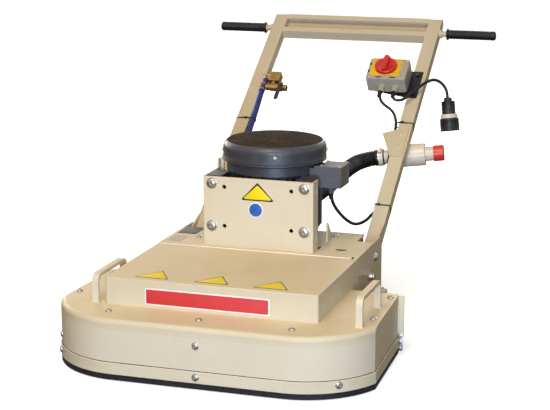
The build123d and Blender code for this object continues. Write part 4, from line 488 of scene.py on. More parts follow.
def circleOutline(radius, count, at=(0, 0)):
    points = [turned(360 * k / count, radius) for k in range(count)]
    return [(at[0] + x, at[1] + y) for x, y in points]


def roundedOutline(width, height, radius, steps=5, at=(0, 0)):
    points = []
    for cx, cy, start in ((1, 1, 0), (-1, 1, 90), (-1, -1, 180), (1, -1, 270)):
        for k in range(steps + 1):
            x, y = turned(start + 90 * k / steps, radius)
            points.append((at[0] + cx * (width / 2 - radius) + x, at[1] + cy * (height / 2 - radius) + y))
    return points


def roundedPolygon(corners, radius, steps=5):
    points = []
    count = len(corners)
    for i, corner in enumerate(corners):
        here = Vector(corner)
        before = (Vector(corners[i - 1]) - here).normalized()
        after = (Vector(corners[(i + 1) % count]) - here).normalized()
        half = before.angle(after) / 2
        reach = radius / math.tan(half)
        center = here + (before + after).normalized() * radius / math.sin(half)
        start, end = here + before * reach - center, here + after * reach - center
        turn = start.angle_signed(end)
        for k in range(steps + 1):
            a = -turn * k / steps
            points.append((center.x + start.x * math.cos(a) - start.y * math.sin(a),
                           center.y + start.x * math.sin(a) + start.y * math.cos(a)))
    return points


def prismPiece(name, finish, body, outline, depth, matrix, edge, edgeSegments=2, replaces=()):
    # a piece that is one plate or block
    mesh = bmesh.new()
    addPrism(mesh, outline, depth, matrix, edge, edgeSegments)
    return finishPiece(name, mesh, finish, body, replaces=replaces)


def splineLine(name, points, diameter=None):
    # one NURBS spline with the route's points, in metres
    curve = bpy.data.curves.new(name, "CURVE")
    curve.dimensions = "3D"
    spline = curve.splines.new("NURBS")
    spline.points.add(len(points) - 1)
    for target, p in zip(spline.points, points):
        target.co = (*p, 1)
    spline.order_u = 3
    spline.use_endpoint_u = True
    spline.resolution_u = 12
    if diameter:
        curve.bevel_depth = diameter / 2
        curve.bevel_resolution = 6
        curve.use_fill_caps = True
    line = bpy.data.objects.new(name, curve)
    bpy.context.scene.collection.objects.link(line)
    return line


def readPath(name, points, step):
    # even points along the spline, read from Blender's own evaluation of it
    line = splineLine(name, points)
    raw = bpy.data.meshes.new_from_object(line)
    verts = [v.co.copy() for v in raw.vertices]
    bpy.data.objects.remove(line)
    lengths = [0.0]
    for a, b in zip(verts, verts[1:]):
        lengths.append(lengths[-1] + (b - a).length)
    count = max(2, round(lengths[-1] / step))
    path, k = [], 0
    for i in range(count + 1):
        target = lengths[-1] * i / count
        while k < len(verts) - 2 and lengths[k + 1] < target:
            k += 1
        span = lengths[k + 1] - lengths[k]
        path.append(verts[k].lerp(verts[k + 1], (target - lengths[k]) / span if span else 0))
    return path, lengths[-1]


def addTube(bm, path, radiusAt, segments):
    # radiusAt(distance) is in metres; frames are carried along so that the tube doesn't twist
    side = None
    travelled = 0.0
    rings = []
    for i, p in enumerate(path):
        way = (path[min(i + 1, len(path) - 1)] - path[max(i - 1, 0)]).normalized()
        if side is None:
            side = way.orthogonal().normalized()
        side = (side - way * side.dot(way)).normalized()
        other = way.cross(side)
        if i:
            travelled += (p - path[i - 1]).length
        r = radiusAt(travelled)
        rings.append([bm.verts.new(p + (side * math.cos(2 * math.pi * k / segments)
                                        + other * math.sin(2 * math.pi * k / segments)) * r)
                      for k in range(segments)])
    for low, high in zip(rings, rings[1:]):
        for k in range(segments):
            bm.faces.new((low[k], low[(k + 1) % segments], high[(k + 1) % segments], high[k]))
    bm.faces.new(list(reversed(rings[0])))
    bm.faces.new(rings[-1])


# ---------- softened edges on the sheet metal and castings ----------
softEdges = {"segments": 3, "fromAngle": 50, "radii": {
    "head_shell": 0.8, "head_top_plate": 1.6, "lower_band": 1.2, "chassis_sides": 1.4, "chassis_deck": 1.0,
    "motor_bracket": 1.2, "upright_left": 2.6, "upright_right": 2.6, "cross_channel": 1.6,
    "handle_brackets": 0.9, "lift_bars": 1.6, "switch_bracket": 0.8, "lock_lever": 1.2, "valve_body": 0.8,
    "terminal_box": 1.6, "motor_frame": 0.8, "rubber_skirt": 1.5}}
for name, radius in softEdges["radii"].items():
    soften = nodes[name].modifiers.new("softEdge", "BEVEL")
    soften.width = radius * mm
    soften.segments = softEdges["segments"]
    soften.limit_method = "ANGLE"
    soften.angle_limit = math.radians(softEdges["fromAngle"])
    soften.use_clamp_overlap = True
print("edges softened:", len(softEdges["radii"]))


# ---------- hoses and cables ----------
# routes in mm: up the handle the points are (x, s, n), on the machine (x, y, z)
def machinePoints(points):
    return [Vector(p) * mm for p in points]


def tubePiece(name, finish, path, radiusAt, segments, replaced):
    mesh = bmesh.new()
    addTube(mesh, path, radiusAt, segments)
    piece = finishPiece(name, mesh, finish, smoothAngle=60)
    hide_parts(replaced)
    return piece


dustHose = {"radius": 26.8, "groove": 3.2, "pitch": 8.0, "cuff": 30.0, "step": 1.1, "segments": 40,
            "inlet": (180.5, 509.2, -97), "rise": 11, "reaches": (-31, 39),
            "machine": ((35, 56.04, 236), (35, 56.04, 286), (48, 100, 330), (85, 190, 358), (110, 285, 390))}
riseAcross, riseAlong = turned(dustHose["rise"])
riseWay = across * riseAcross + along * riseAlong
dustStart = handlePoint(*dustHose["inlet"])
dustRoute = machinePoints(dustHose["machine"])
dustRoute += [dustStart + riseWay * reach * mm for reach in dustHose["reaches"]]
dustPath, dustLength = readPath("dustPath", dustRoute, dustHose["step"] * mm)


def dustRadius(distance):
    # spiral-ribbed hose with smooth cuffs at both ends
    ends = min(distance, dustLength - distance) / mm
    if ends < dustHose["cuff"]:
        return dustHose["radius"] * mm
    wave = 0.5 - 0.5 * math.cos(2 * math.pi * (ends - dustHose["cuff"]) / dustHose["pitch"])
    return (dustHose["radius"] - dustHose["groove"] * wave ** 1.5) * mm


ribbedHose = tubePiece("ribbedDustHose", "hoseRubber", dustPath, dustRadius, dustHose["segments"],
                       "dust_hose")
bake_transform(ribbedHose)

waterHose = {"radius": 10.0, "step": 6, "segments": 24,
             "handle": ((-247, 761, -4), (-247, 708, -4), (-249, 630, -22), (-249.5, 500, -34),
                        (-250, 350, -40), (-248, 240, -52)),
             "machine": ((-232, 92, 268), (-205, 70, 240), (-150, 46, 222), (-150, -14, 222))}
waterRoute = [handlePoint(*p) for p in waterHose["handle"]] + machinePoints(waterHose["machine"])
waterPath, waterLength = readPath("waterPath", waterRoute, waterHose["step"] * mm)
blueHose = tubePiece("blueWaterHose", "bluePvc", waterPath, lambda d: waterHose["radius"] * mm,
                     waterHose["segments"], "water_hose")
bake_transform(blueHose)

lead = {"radius": 5.0, "step": 4, "segments": 16,
        "motorHandle": ((175, 730, 11), (175, 692, 11), (196, 662, 5), (232, 648, -8), (249, 612, -28),
                        (248, 560, -42), (247, 500, -50), (250, 450, -62), (265, 395, -65), (280, 340, -64),
                        (278, 290, -64), (262, 250, -65), (245, 226, -58)),
        "motorMachine": ((238, 92, 276), (222, 60, 268), (210, 22, 274), (199, -25, 298), (191, -78, 332),
                         (187, -122, 364), (186, -152, 396), (186, -152, 431)),
        "plugHandle": ((222, 730, 11), (222, 691.9, 11), (234.9, 679, 11), (253.1, 679, 11),
                       (266, 691.9, 10), (278, 712, 9), (291, 735, 6), (304, 762, 3), (321, 784, 2),
                       (340, 795, 4), (364, 783, 10), (386, 760, 11), (400, 737, 3), (404, 716, -19))}
motorRoute = [handlePoint(*p) for p in lead["motorHandle"]] + machinePoints(lead["motorMachine"])
motorPath, motorLength = readPath("motorPath", motorRoute, lead["step"] * mm)
motorLead = tubePiece("motorSupplyLead", "cableRubber", motorPath, lambda d: lead["radius"] * mm,
                      lead["segments"], "motor_lead")
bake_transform(motorLead)

plugRoute = [handlePoint(*p) for p in lead["plugHandle"]]
plugLead = splineLine("plugLead", plugRoute, 2 * lead["radius"] * mm)
plugLead.data.materials.append(paints["cableRubber"])
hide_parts("plug_lead")
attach(plugLead, "handle")
plugLeadLength = readPath("plugPath", plugRoute, lead["step"] * mm)[1]
print("hoses and cables laid")

# ---------- plain plates and stickers ----------
# all left blank: only the colour fields of such plates
sheet = {"thick": 0.4, "lift": 0.35, "edge": 0.12, "corner": 3}
stickers = {
    "bar": {"x": (-191, 175), "z": (184, 232), "corner": 3.0, "thick": 0.5, "fieldCorner": 1.5, "lift": 0.45,
            "border": 3.5},
    "cover": {"centres": (-182, -3, 169), "low": -693.0, "high": -613.0, "half": 52.0, "border": 4.0,
              "tip": 6},
    "bracket": {"half": 53.0, "low": 403.0, "high": 459.0, "border": 4.0},
    "disc": {"x": -6.0, "z": 375.0, "radius": 23.0, "border": 3.0, "count": 60},
}


def triangle(half, tall, grow, tip=0):
    # corners moved out by grow, more at the sharp ones
    side = half + 1.7 * grow
    return roundedPolygon([(-side, -tall / 2 - grow), (side, -tall / 2 - grow), (tip, tall / 2 + 2 * grow)],
                          sheet["corner"])


def borderedSticker(name, finishNames, border, outlineAt, seatsAt):
    # the border's colour underneath, the field's colour laid on it; outlines by growth, seats by lift
    for word, finish, grow, lift in (("Border", finishNames[0], 0, 0.0),
                                     ("Field", finishNames[1], -border, sheet["lift"])):
        mesh = bmesh.new()
        for seat in seatsAt(lift):
            addPrism(mesh, outlineAt(grow), sheet["thick"], seat, sheet["edge"])
        finishPiece(name + word, mesh, finish, "machine")


bar = stickers["bar"]
barX, barZ = sum(bar["x"]) / 2, sum(bar["z"]) / 2
barWide, barTall = bar["x"][1] - bar["x"][0], bar["z"][1] - bar["z"][0]
inset = 2 * bar["border"]
prismPiece("barPlateBorder", "whiteSticker", "machine", roundedOutline(barWide, barTall, bar["corner"]),
           bar["thick"], forward(barX, cover["front"], barZ), 0.2)
prismPiece("barPlateField", "redSticker", "machine",
           roundedOutline(barWide - inset, barTall - inset, bar["fieldCorner"]), sheet["thick"],
           forward(barX, cover["front"] - bar["lift"], barZ), 0.15)

tri = stickers["cover"]
borderedSticker("coverTriangle", ("ochreSticker", "yellowSticker"), tri["border"],
                lambda grow: triangle(tri["half"], tri["high"] - tri["low"], grow, tri["tip"]),
                lambda lift: [upright(x, (tri["low"] + tri["high"]) / 2, cover["top"] + lift)
                              for x in tri["centres"]])
sign = stickers["bracket"]
borderedSticker("bracketTriangle", ("ochreSticker", "yellowSticker"), sign["border"],
                lambda grow: triangle(sign["half"], sign["high"] - sign["low"], grow),
                lambda lift: [forward(0, bracketFront - lift, (sign["low"] + sign["high"]) / 2)])
disc = stickers["disc"]
borderedSticker("bracketDisc", ("whiteSticker", "blueSticker"), disc["border"],
                lambda grow: circleOutline(disc["radius"] + grow, disc["count"]),
                lambda lift: [forward(disc["x"], bracketFront - lift, disc["z"])])
print("plain plates placed")

# ---------- fasteners ----------
boltStyle = {"headRadius": 9.0, "headHeight": 5.0, "washer": 10.5, "washerThickness": 1.2, "socket": 3.2,
             "crownAngles": (15, 30, 45, 58)}


def addButtonBolt(bm, seat, scale=1.0):
    # button head with a hexagon socket, standing on a thin washer
    r, h = boltStyle["headRadius"] * scale, boltStyle["headHeight"] * scale
    washer, socket = boltStyle["washer"] * scale, boltStyle["socket"] * scale
    t = boltStyle["washerThickness"]
    addLathe(bm, [(0, 0), (washer, 0), (washer, t * 0.8), (washer - 0.4, t), (0, t)], seat, 28)
    crown = [(0, t), (r, t), (r, t + h * 0.2)]
    for outAt, upAt in (turned(angle) for angle in boltStyle["crownAngles"]):
        crown.append((r * outAt ** 0.75, t + h * (0.2 + 0.62 * upAt)))
    crown += [(socket + 0.6, t + h * 0.84), (socket, t + h * 0.78), (socket * 0.95, t + h * 0.3),
              (0, t + h * 0.25)]
    addLathe(bm, crown, seat, 24)


def cornerSeat(side, angle, z, grow=0.0):
    # seat on the head's rounded corner, facing out
    ahead, sideways = turned(angle)
    normal = Vector((side * sideways, -ahead, 0))
    at = Vector((head["arcRight"] if side > 0 else head["arcLeft"], head["arcY"], z))
    return looking(normal, upward, (at + normal * (head["arcR"] + grow)) * mm)


# x, y on the head's top; x, z in front; side, angle, z on corners; on the deck x and the way from the bracket
bolts = {"bandThick": 3, "bracketScale": 1.6, "bracketX": (-145, 145), "bracketZ": (318, 449),
         "front": (10, 125), "corner": (-1, 58, 82), "bandFront": (10, 37),
         "bandCorners": ((1, 38, 41), (-1, 58, 37)),
         "top": ((-436, -621), (-274, -781), (-5, -787), (262, -790), (444, -627), (440, -413),
                 (-424, -413)),
         "deck": ((178, 68), (178, 232), (-222, 90))}
band = bolts["bandThick"]
seats = [upright(x, y, head["top"]) for x, y in bolts["top"]]
seats += [forward(bolts["front"][0], head["front"], bolts["front"][1]), cornerSeat(*bolts["corner"])]
seats += [forward(bolts["bandFront"][0], head["front"] - band, bolts["bandFront"][1])]
seats += [cornerSeat(*place, band) for place in bolts["bandCorners"]]
seats += [upright(x, bracketFront + back, cover["top"]) for x, back in bolts["deck"]]
boltMesh = bmesh.new()
for seat in seats:
    addButtonBolt(boltMesh, seat)
for x in bolts["bracketX"]:
    for z in bolts["bracketZ"]:
        addButtonBolt(boltMesh, forward(x, bracketFront, z), bolts["bracketScale"])
finishPiece("buttonBolts", boltMesh, "zincPlate", "machine", replaces=["case_bolts"])
print("bolts fitted")

# ---------- weld beads ----------
# round the feet of the lift bars on the head, then along the foot of the motor bracket
weld = {"step": 1.1, "ripple": 4.2, "wander": 0.37, "segments": 8, "feet": (-341.0, 428.0), "halfWidth": 9.5,
        "front": head["front"] + 133.0, "back": head["front"] + 338.0, "thick": 10.0, "clear": 0.5,
        "lift": 0.8, "radius": 1.9, "bracketHalf": 171, "bracketRadius": 1.6}


def addBead(bm, points, radius, seed):
    # a laid bead: short overlapping ripples along the joint, points in mm
    path = [Vector(points[0]) * mm]
    for a, b in zip(points, points[1:]):
        a, b = Vector(a) * mm, Vector(b) * mm
        count = max(1, round((b - a).length / (weld["step"] * mm)))
        path += [a.lerp(b, (k + 1) / count) for k in range(count)]

    def beadRadius(distance):
        ripple = 0.16 * math.sin(distance / mm * 2 * math.pi / weld["ripple"] + seed)
        return radius * mm * (1 + ripple + 0.08 * math.sin(distance / mm * weld["wander"] + seed))

    addTube(bm, path, beadRadius, weld["segments"])


beadMesh = bmesh.new()
for x in weld["feet"]:
    for front in (weld["front"], weld["back"] - weld["thick"]):
        h = weld["halfWidth"] + weld["clear"]
        z = head["top"] + weld["lift"]
        low, high = front - weld["clear"], front + weld["thick"] + weld["clear"]
        corners = [(x - h, low, z), (x + h, low, z), (x + h, high, z), (x - h, high, z)]
        addBead(beadMesh, corners + corners[:1], weld["radius"], x)
bracketFoot = [(side * weld["bracketHalf"], bracketFront - 0.4, cover["top"] + 0.6) for side in (-1, 1)]
addBead(beadMesh, bracketFoot, weld["bracketRadius"], 2.0)
finishPiece("weldBeads", beadMesh, "tanPowderCoat", "machine", smoothAngle=70)
print("weld beads laid")

# ---------- motor trim ----------
motor = {"y": -130.0, "cowlBottom": 504.0, "cowlRadius": 158.0, "rings": ((9, 1.4), (16, 0.9)),
         "cowlScrews": (-72, 18, 108, 198), "screwUp": 27, "screwScale": 0.62,
         "lidTop": 499, "lidScale": 0.5}
trimMesh = bmesh.new()
# pressed stiffening rings round the cowl
for up, r in motor["rings"]:
    z = motor["cowlBottom"] + up
    ring = [(motor["cowlRadius"] - 0.6 + out, z + 1.6 * rise)
            for out, rise in (turned(angle, r) for angle in range(-90, 91, 30))]
    root = motor["cowlRadius"] - 2
    addLathe(trimMesh, ring + [(root, z + 2), (root, z - 2)], upright(0, motor["y"], 0), 96, closed=True)
finishPiece("cowlRings", trimMesh, "motorEnamel", "machine", smoothAngle=50)
screwMesh = bmesh.new()
for angle in motor["cowlScrews"]:
    normal = Vector((*turned(angle), 0))
    at = Vector((0, motor["y"], motor["cowlBottom"] + motor["screwUp"])) + normal * motor["cowlRadius"]
    addButtonBolt(screwMesh, looking(normal, upward, at * mm), motor["screwScale"])
lidLow, lidHigh = (Vector(c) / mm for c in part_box("terminal_lid"))
for x in (lidLow.x + 20, lidHigh.x - 9):
    for y in (lidLow.y + 9, lidHigh.y - 9):
        addButtonBolt(screwMesh, upright(x, y, motor["lidTop"]), motor["lidScale"])
finishPiece("smallScrews", screwMesh, "zincPlate", "machine")
print("motor trimmed")

# ---------- hand grips ----------
grip = {"start": 332.5, "length": 172.0, "bore": 10.2, "radius": 16.0, "flange": 20.0, "flangeThick": 6,
        "ribs": 15, "s": 1071.1, "n": -37.0}
gripMesh = bmesh.new()
r, flange, end = grip["radius"], grip["flange"], grip["length"]
profile = [(grip["bore"], 0), (flange - 1.5, 0), (flange, 1.5), (flange, 4.5),
           (flange - 1.5, grip["flangeThick"]), (r - 0.5, grip["flangeThick"] + 1.5)]
pitch = (end - 34) / grip["ribs"]
for k in range(grip["ribs"]):
    # shallow rings moulded for the fingers
    z = 14 + k * pitch
    profile += [(r, z), (r, z + pitch * 0.55), (r - 1.3, z + pitch * 0.68), (r - 1.3, z + pitch * 0.88)]
profile += [(r, end - 18), (r, end - 7), (r - 1.2, end - 3), (r - 4, end - 0.6), (r - 8, end), (0, end)]
for side in (-1, 1):
    addLathe(gripMesh, profile, axesAt(along, outward, across * side,
                                       handlePoint(side * grip["start"], grip["s"], grip["n"])), 40)
finishPiece("ribbedGrips", gripMesh, "gripRubber", "handle", smoothAngle=50, replaces=["grips"])
print("grips moulded")

# ---------- switch ----------
# places up the handle are x, s; the fields are x, s, width and height
switch = {"x": 190.0, "s": 792.0, "width": 136.0, "height": 100.0, "lidFront": 48.0, "lidDepth": 14.0,
          "gap": 0.2, "screws": (59, 41), "screwScale": 0.45, "knobX": 183.0, "knobS": 797.0, "knobR": 38.0,
          "knobGap": 2.0, "plate": (104.0, 78.0), "plateThick": 1.3, "fieldThick": 0.5,
          "fields": ((127.5, 812, 7, 13), (127.5, 776, 7, 13), (166, 749, 20, 5), (214, 749, 22, 5))}
lidFace = switch["lidFront"] - 0.1
prismPiece("switchLidShell", "greyPlastic", "handle",
           roundedOutline(switch["width"] - 2 * switch["gap"], switch["height"] - 2 * switch["gap"], 8, 6),
           switch["lidDepth"] - switch["gap"],
           handleMatrix(switch["x"], switch["s"], switch["lidFront"] - switch["lidDepth"]), 3.0, 4,
           replaces=["switch_lid"])
prismPiece("switchPlate", "yellowPlastic", "handle", roundedOutline(*switch["plate"], 3),
           switch["plateThick"], handleMatrix(switch["knobX"], switch["knobS"], lidFace), 0.4)
markMesh = bmesh.new()
for x, s, width, height in switch["fields"]:
    addPrism(markMesh, roundedOutline(width, height, 1), switch["fieldThick"],
             handleMatrix(x, s, lidFace), 0.15)
finishPiece("switchFields", markMesh, "blackNylon", "handle")
screwMesh = bmesh.new()
for x in (-switch["screws"][0], switch["screws"][0]):
    for s in (-switch["screws"][1], switch["screws"][1]):
        addButtonBolt(screwMesh, handleMatrix(switch["x"] + x, switch["s"] + s, switch["lidFront"] - 0.3),
                      switch["screwScale"])
finishPiece("switchScrews", screwMesh, "zincPlate", "handle")
knobMesh = bmesh.new()
knobPlace = handleMatrix(switch["knobX"], switch["knobS"], switch["lidFront"] + switch["knobGap"])
r = switch["knobR"]
addLathe(knobMesh, [(5, -10), (5, 0), (r - 1.5, 0), (r, 1.5), (r, 8), (r - 1, 10.5), (r - 3.5, 12),
                    (r - 7, 12), (r - 9, 10.8), (0, 10.4)], knobPlace, 64)
# the bar that the fingers turn, then the pointer on the rim
addPrism(knobMesh, roundedOutline(17, 2 * r - 7, 8.2, 6), 16.4, knobPlace @ upright(0, 0, 10.2), 3.0, 4)
addPrism(knobMesh, roundedOutline(16, 12, 4, at=(0, r)), 10, knobPlace @ upright(0, 0, 1), 2.0, 3)
finishPiece("switchKnobBody", knobMesh, "redPlastic", "knob", replaces=["switch_knob"])
print("switch dressed")

# ---------- deck, cover seam and rear flange trim ----------
# each mark on the deck has its place, its outline's size and corner, its thickness and its rounding
deck = {
    "deckPlate": {"finish": "blackPlate", "marks": (((-272, -138), (62, 86, 2), 0.8, 0.3),)},
    "deckLabel": {"finish": "silverLabel", "marks": (((-276, -246), (44, 68, 2), 0.5, 0.2),)},
    # painted shade: near-black plates where a drain slot and a notch in the deck are hollow
    "darkSlots": {"finish": "shadowGap", "marks": (((240, -229), (34, 9, 4.4), 0.5, 0.1),
                                                   ((299, -312), (5, 16, 1), 1.4, 0.3))},
}
hem = {"x": -306, "length": 600,
       "profile": ((-3.0, 0), (2.0, 0), (2.0, 1.4), (1.4, 2.2), (-1.6, 2.2), (-2.6, 1.4))}
ribs = {"x": (-173, 170.2), "y": -148, "thick": 4.6,
        "profile": ((0, 0), (52, 0), (52, 6), (6, 60), (0, 60))}
strap = {"x": 463.5, "y": -389.2, "low": 12.0, "high": 66.0, "width": 15, "thick": 2.2, "nut": 6.2,
         "nutHeight": 4.2}
for name, group in deck.items():
    markMesh = bmesh.new()
    for at, size, thick, edge in group["marks"]:
        addPrism(markMesh, roundedOutline(*size), thick, upright(*at, cover["top"]), edge)
    finishPiece(name, markMesh, group["finish"], "machine")
# hem folded up along the back of the belt cover, in a paler tan: a painted highlight along its fold
prismPiece("coverHem", "hemCoat", "machine", hem["profile"], hem["length"],
           axesAt(rearward, upward, across, Vector((hem["x"], cover["back"], cover["top"])) * mm), 0.3)
# ribs that brace the motor bracket from behind
ribMesh = bmesh.new()
for x in ribs["x"]:
    addPrism(ribMesh, ribs["profile"], ribs["thick"],
             axesAt(rearward, upward, across, Vector((x, ribs["y"], cover["top"])) * mm), 0.5)
finishPiece("bracketRibs", ribMesh, "tanPowderCoat", "machine")
# strap that clamps the skirt's end, with its three nuts
strapMesh = bmesh.new()
middle = (strap["low"] + strap["high"]) / 2
addPrism(strapMesh, roundedOutline(strap["width"], strap["high"] - strap["low"], 3), strap["thick"],
         forward(strap["x"], strap["y"] + strap["thick"], middle), 0.4)
for z in (strap["high"] - 10, middle, strap["low"] + 8):
    addPrism(strapMesh, circleOutline(strap["nut"], 6), strap["nutHeight"],
             forward(strap["x"], strap["y"], z), 0.6)
finishPiece("skirtStrap", strapMesh, "zincPlate", "machine")
# painted shadow: a thin dark bead laid along the joint of shell and lower band, where the seam lies in shade
seamShade = {"radius": 1.0, "z": 53.6, "out": 0.3, "crease": 68.2, "steps": 16, "rearX": (-440, 455),
        "rearY": -384}
line = [(seamShade["rearX"][0] - seamShade["out"], seamShade["rearY"], seamShade["z"])]
turns = [seamShade["crease"] * k / seamShade["steps"] for k in range(seamShade["steps"] + 1)]
for side, centreX in ((-1, head["arcLeft"]), (1, head["arcRight"])):
    for angle in turns[::side]:
        ahead, sideways = turned(angle, head["arcR"] + seamShade["out"])
        line.append((centreX + side * sideways, head["arcY"] - ahead, seamShade["z"]))
line.append((seamShade["rearX"][1] + seamShade["out"], seamShade["rearY"], seamShade["z"]))
seamShadeMesh = bmesh.new()
addTube(seamShadeMesh, machinePoints(line), lambda d: seamShade["radius"] * mm, 8)
finishPiece("seamPaintedShadow", seamShadeMesh, "shadowGap", "machine", smoothAngle=70)
print("deck and flange trimmed")

# ---------- wheels ----------
wheel = {"x": 228.0, "y": -50.0, "r": 85.0, "halfWidth": 22.0, "rim": 63.0, "bead": 0.2,
         "grooves": (-8.4, 0, 8.4)}
r, w = wheel["r"], wheel["halfWidth"]
# from the bead on the rim up the side wall to the tread
wall = [(wheel["rim"] + wheel["bead"], w), (r - 13, w), (r - 11.5, w - 0.8), (r - 6, w - 1.2),
        (r - 2.2, w - 4), (r - 0.4, w - 8)]
profile = [(radius, -out) for radius, out in wall]
for at in wheel["grooves"]:
    for up, way in ((0.1, -3.2), (0.1, -1.5), (2.6, -1.1), (2.6, 1.1), (0.1, 1.5), (0.1, 3.2)):
        profile.append((r - up, at + way))
profile += wall[::-1]
for side, word in ((-1, "left"), (1, "right")):
    tyreMesh = bmesh.new()
    place = axesAt(-upward, rearward, across, Vector((side * wheel["x"], wheel["y"], r)) * mm)
    addLathe(tyreMesh, profile, place, 96, closed=True)
    finishPiece("grooved_tyre_" + word, tyreMesh, "tyreRubber", word + "_wheel", smoothAngle=40,
                replaces=["tyre_" + word])
print("tyres grooved")

# ---------- lead sleeves, ties and clamps ----------
boot = {"bore": 5.1, "wide": 8.6, "narrow": 6.2, "rings": 5, "groove": 1.3,
        "switchX": (175, 222), "switchS": 716, "switchN": 11, "switchLength": 24,
        "terminal": (186, -152, 412), "terminalLength": 21}


def addBoot(bm, matrix, length):
    # ribbed rubber sleeve that keeps the lead from kinking, local z away from the housing
    wide, narrow, count = boot["wide"], boot["narrow"], boot["rings"]
    profile = [(boot["bore"], 0), (wide, 0)]
    for k in range(count):
        z0 = length * (k + 0.15) / count
        z1 = length * (k + 0.75) / count
        r = wide + (narrow - wide) * (k + 0.4) / count
        low = r - boot["groove"]
        profile += [(r, z0), (r - 0.2, z1), (low, z1 + 0.6), (low, z0 + length / count - 0.4)]
    profile += [(narrow, length - 1.5), (narrow - 0.4, length), (boot["bore"], length)]
    addLathe(bm, profile, matrix, 28, closed=True)


bootMesh = bmesh.new()
for x in boot["switchX"]:
    addBoot(bootMesh, axesAt(across, -outward, -along, handlePoint(x, boot["switchS"], boot["switchN"])),
            boot["switchLength"])
finishPiece("switchBoots", bootMesh, "cableRubber", "handle")
bootMesh = bmesh.new()
addBoot(bootMesh, axesAt(across, -rearward, -upward, Vector(boot["terminal"]) * mm), boot["terminalLength"])
finishPiece("terminalBoot", bootMesh, "cableRubber", "machine")

# side, place up the handle, middle of the hose or lead (x, n) and its radius
tie = {"width": 4.8, "thick": 1.3, "gap": 0.3, "tubeCorner": 2.3, "tubeInset": 2, "count": 18,
       "places": ((1, 605, (248.8, -30), 5.4), (1, 233, (250, -60.5), 5.4), (-1, 587, (-249.2, -26), 10.4))}


def addTie(bm, points, matrix):
    # nylon strap drawn round the points (x, n in mm)
    order = geometry.convex_hull_2d([Vector(p) for p in points])
    loop = [Vector(points[i]) for i in order]
    centre = sum(loop, Vector((0, 0))) / len(loop)
    rings = []
    for lift in (tie["gap"], tie["gap"] + tie["thick"]):
        outline = [p + (p - centre).normalized() * lift for p in loop]
        rings.append([[bm.verts.new(matrix @ (Vector((p.x, level, p.y)) * mm)) for p in outline]
                      for level in (-tie["width"] / 2, tie["width"] / 2)])
    inner, outer = rings
    for k in range(len(loop)):
        j = (k + 1) % len(loop)
        bm.faces.new((outer[0][k], outer[0][j], outer[1][j], outer[1][k]))
        bm.faces.new((inner[0][j], inner[0][k], inner[1][k], inner[1][j]))
        for level in (0, 1):
            bm.faces.new((inner[level][k], inner[level][j], outer[level][j], outer[level][k]))


tieMesh = bmesh.new()
for side, s, middle, radius in tie["places"]:
    wrapped = []
    for x in (handle["tubeInner"] + tie["tubeInset"], handle["tubeOuter"] - tie["tubeInset"]):
        for n in (handle["tubeBack"] + tie["tubeInset"], handle["tubeFront"] - tie["tubeInset"]):
            wrapped += circleOutline(tie["tubeCorner"], tie["count"], (side * x, n))
    wrapped += circleOutline(radius, tie["count"], middle)
    addTie(tieMesh, wrapped, handleMatrix(0, s, 0))
    # locking head on the front of the tube, and the cut end that stands out of it
    lockAt = handlePoint(side * (handle["tubeInner"] + 12), s, handle["tubeFront"] + 1.2)
    addPrism(tieMesh, roundedOutline(8, 7.4, 1.2), 4.6, axesAt(across, along, outward, lockAt), 0.8)
    tailAt = lockAt + across * -3.6 * mm + outward * 2.4 * mm
    addPrism(tieMesh, roundedOutline(1.2, 4.2, 0.5, 2), 13, axesAt(outward, along, -across, tailAt), 0.3)
finishPiece("cableTies", tieMesh, "blackNylon", "handle", smoothAngle=50)

clamp = {"gap": 0.1, "upperReach": 24, "upperTurn": 60, "lower": (35, 56.04, 250), "lowerTurn": 110}


def addHoseClamp(bm, matrix, turn):
    # worm-drive band: flat strap with raised edges, screw housing and slotted hexagon screw
    r = dustHose["radius"] + clamp["gap"]
    half = [(r + 0.8, 3.6), (r + 1.2, 4), (r + 1.2, 5), (r, 5)]
    addLathe(bm, [(radius, -z) for radius, z in half[::-1]] + half, matrix, 64, closed=True)
    spin = spun(matrix, turn)
    body = spin @ upright(r + 0.6, 0, 0) @ Matrix.Rotation(math.radians(90), 4, "Y")
    addPrism(bm, roundedOutline(11, 14, 3), 6.5, body, 2.0, 3)
    screw = spin @ upright(r + 4.6, 6, 0) @ Matrix.Rotation(math.radians(-90), 4, "X")
    addLathe(bm, [(0, -2), (2.6, -2), (2.6, 3), (4.2, 3), (4.2, 7.4), (3.8, 8), (0.8, 8), (0.8, 7), (0, 7)],
             screw, 6)


upperPlace = looking(riseWay, along, dustStart + riseWay * clamp["upperReach"] * mm)
clamps = (("hoseClampUpper", "handle", upperPlace, clamp["upperTurn"]),
          ("hoseClampLower", "machine", upright(*clamp["lower"]), clamp["lowerTurn"]))
for name, body, place, turn in clamps:
    clampMesh = bmesh.new()
    addHoseClamp(clampMesh, place, turn)
    finishPiece(name, clampMesh, "chromePlate", body, smoothAngle=40)
print("sleeves, ties and clamps fitted")

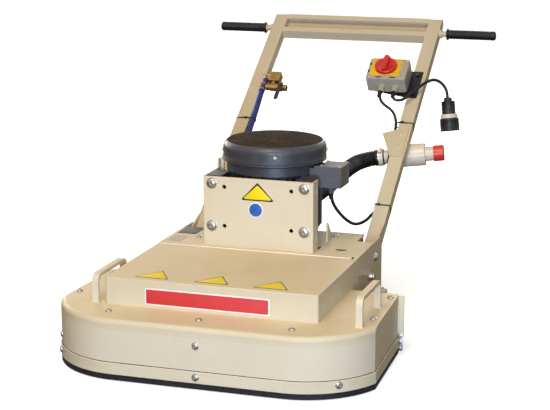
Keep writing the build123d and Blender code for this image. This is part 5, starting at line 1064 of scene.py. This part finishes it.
# ---------- plug ----------
# profiles (radius, distance along the plug) from the lead's end; ribs as count, radius, distance, size
plug = {"back": 14,
        "body": ((5.1, 0), (9.5, 0), (12.6, 2), (13.8, 4), (13.8, 10), (13.2, 11.5), (22, 12.5), (23.2, 14),
                 (23.2, 17), (21.6, 19), (21.6, 44), (23.2, 46), (23.2, 55.4), (5.1, 55.4)),
        "bodyRibs": {"count": 16, "radius": 21.2, "at": 31.5, "size": (25, 3.6, 1.6), "height": 2.0,
                     "edge": 0.7},
        "collar": ((28.9, 69), (30.6, 70.2), (31.9, 73), (31.9, 78), (30.8, 80), (30.8, 104), (31.9, 106),
                   (31.9, 111.6), (31, 113), (29.4, 113), (28.9, 112), (28.9, 74.9)),
        "collarRibs": {"count": 20, "radius": 30.4, "at": 92, "size": (23, 4.2, 1.8), "height": 1.5,
                       "edge": 0.6},
        "ring": ((0, 55.6), (27.4, 55.6), (28.7, 56.8), (28.7, 68.4), (28.7, 75.1), (0, 75.1)),
        "pin": ((0, 0), (3, 0), (3, 25), (2.2, 27.6), (1, 28.4), (0, 28.6)),
        "pins": 3, "pinCircle": 14, "pinsAt": 75}
plugEnd = Vector(plugRoute[-1])
plugWay = (plugEnd - Vector(plugRoute[-2])).normalized()
plugPlace = looking(plugWay, across, plugEnd - plugWay * plug["back"] * mm)


def addPlugRibs(bm, ribs):
    # finger ribs all round
    for k in range(ribs["count"]):
        seat = spun(plugPlace, 360 / ribs["count"] * k) @ upright(ribs["radius"], 0, ribs["at"])
        addPrism(bm, roundedOutline(*ribs["size"], 3), ribs["height"],
                 seat @ Matrix.Rotation(math.radians(90), 4, "Y"), ribs["edge"])


plugMesh = bmesh.new()
addLathe(plugMesh, plug["body"], plugPlace, 48, closed=True)
addPlugRibs(plugMesh, plug["bodyRibs"])
addLathe(plugMesh, plug["collar"], plugPlace, 64, closed=True)
addPlugRibs(plugMesh, plug["collarRibs"])
finishPiece("plugGrip", plugMesh, "blackNylon", "handle", smoothAngle=40, replaces=["plug"])
plugMesh = bmesh.new()
addLathe(plugMesh, plug["ring"], plugPlace, 64)
finishPiece("plugRing", plugMesh, "creamPlastic", "handle", smoothAngle=40)
plugMesh = bmesh.new()
for k in range(plug["pins"]):
    seat = spun(plugPlace, 360 / plug["pins"] * k) @ upright(plug["pinCircle"], 0, plug["pinsAt"])
    addLathe(plugMesh, plug["pin"], seat, 20)
finishPiece("plugPins", plugMesh, "brassFitting", "handle")
print("plug dressed")

# ---------- brass tap ----------
tap = {"at": (-247, 742, -4), "nut": 12.4, "nutLength": 9,
       "band": ((10.1, 26), (11.3, 26.4), (11.3, 34.6), (10.1, 35))}
tapPlace = axesAt(across, outward, -along, handlePoint(*tap["at"]))
tapMesh = bmesh.new()
addPrism(tapMesh, circleOutline(tap["nut"], 6), tap["nutLength"], tapPlace, 0.8)
addLathe(tapMesh, tap["band"], tapPlace, 40, closed=True)
finishPiece("tapNut", tapMesh, "brassFitting", "handle")
print("tap dressed")
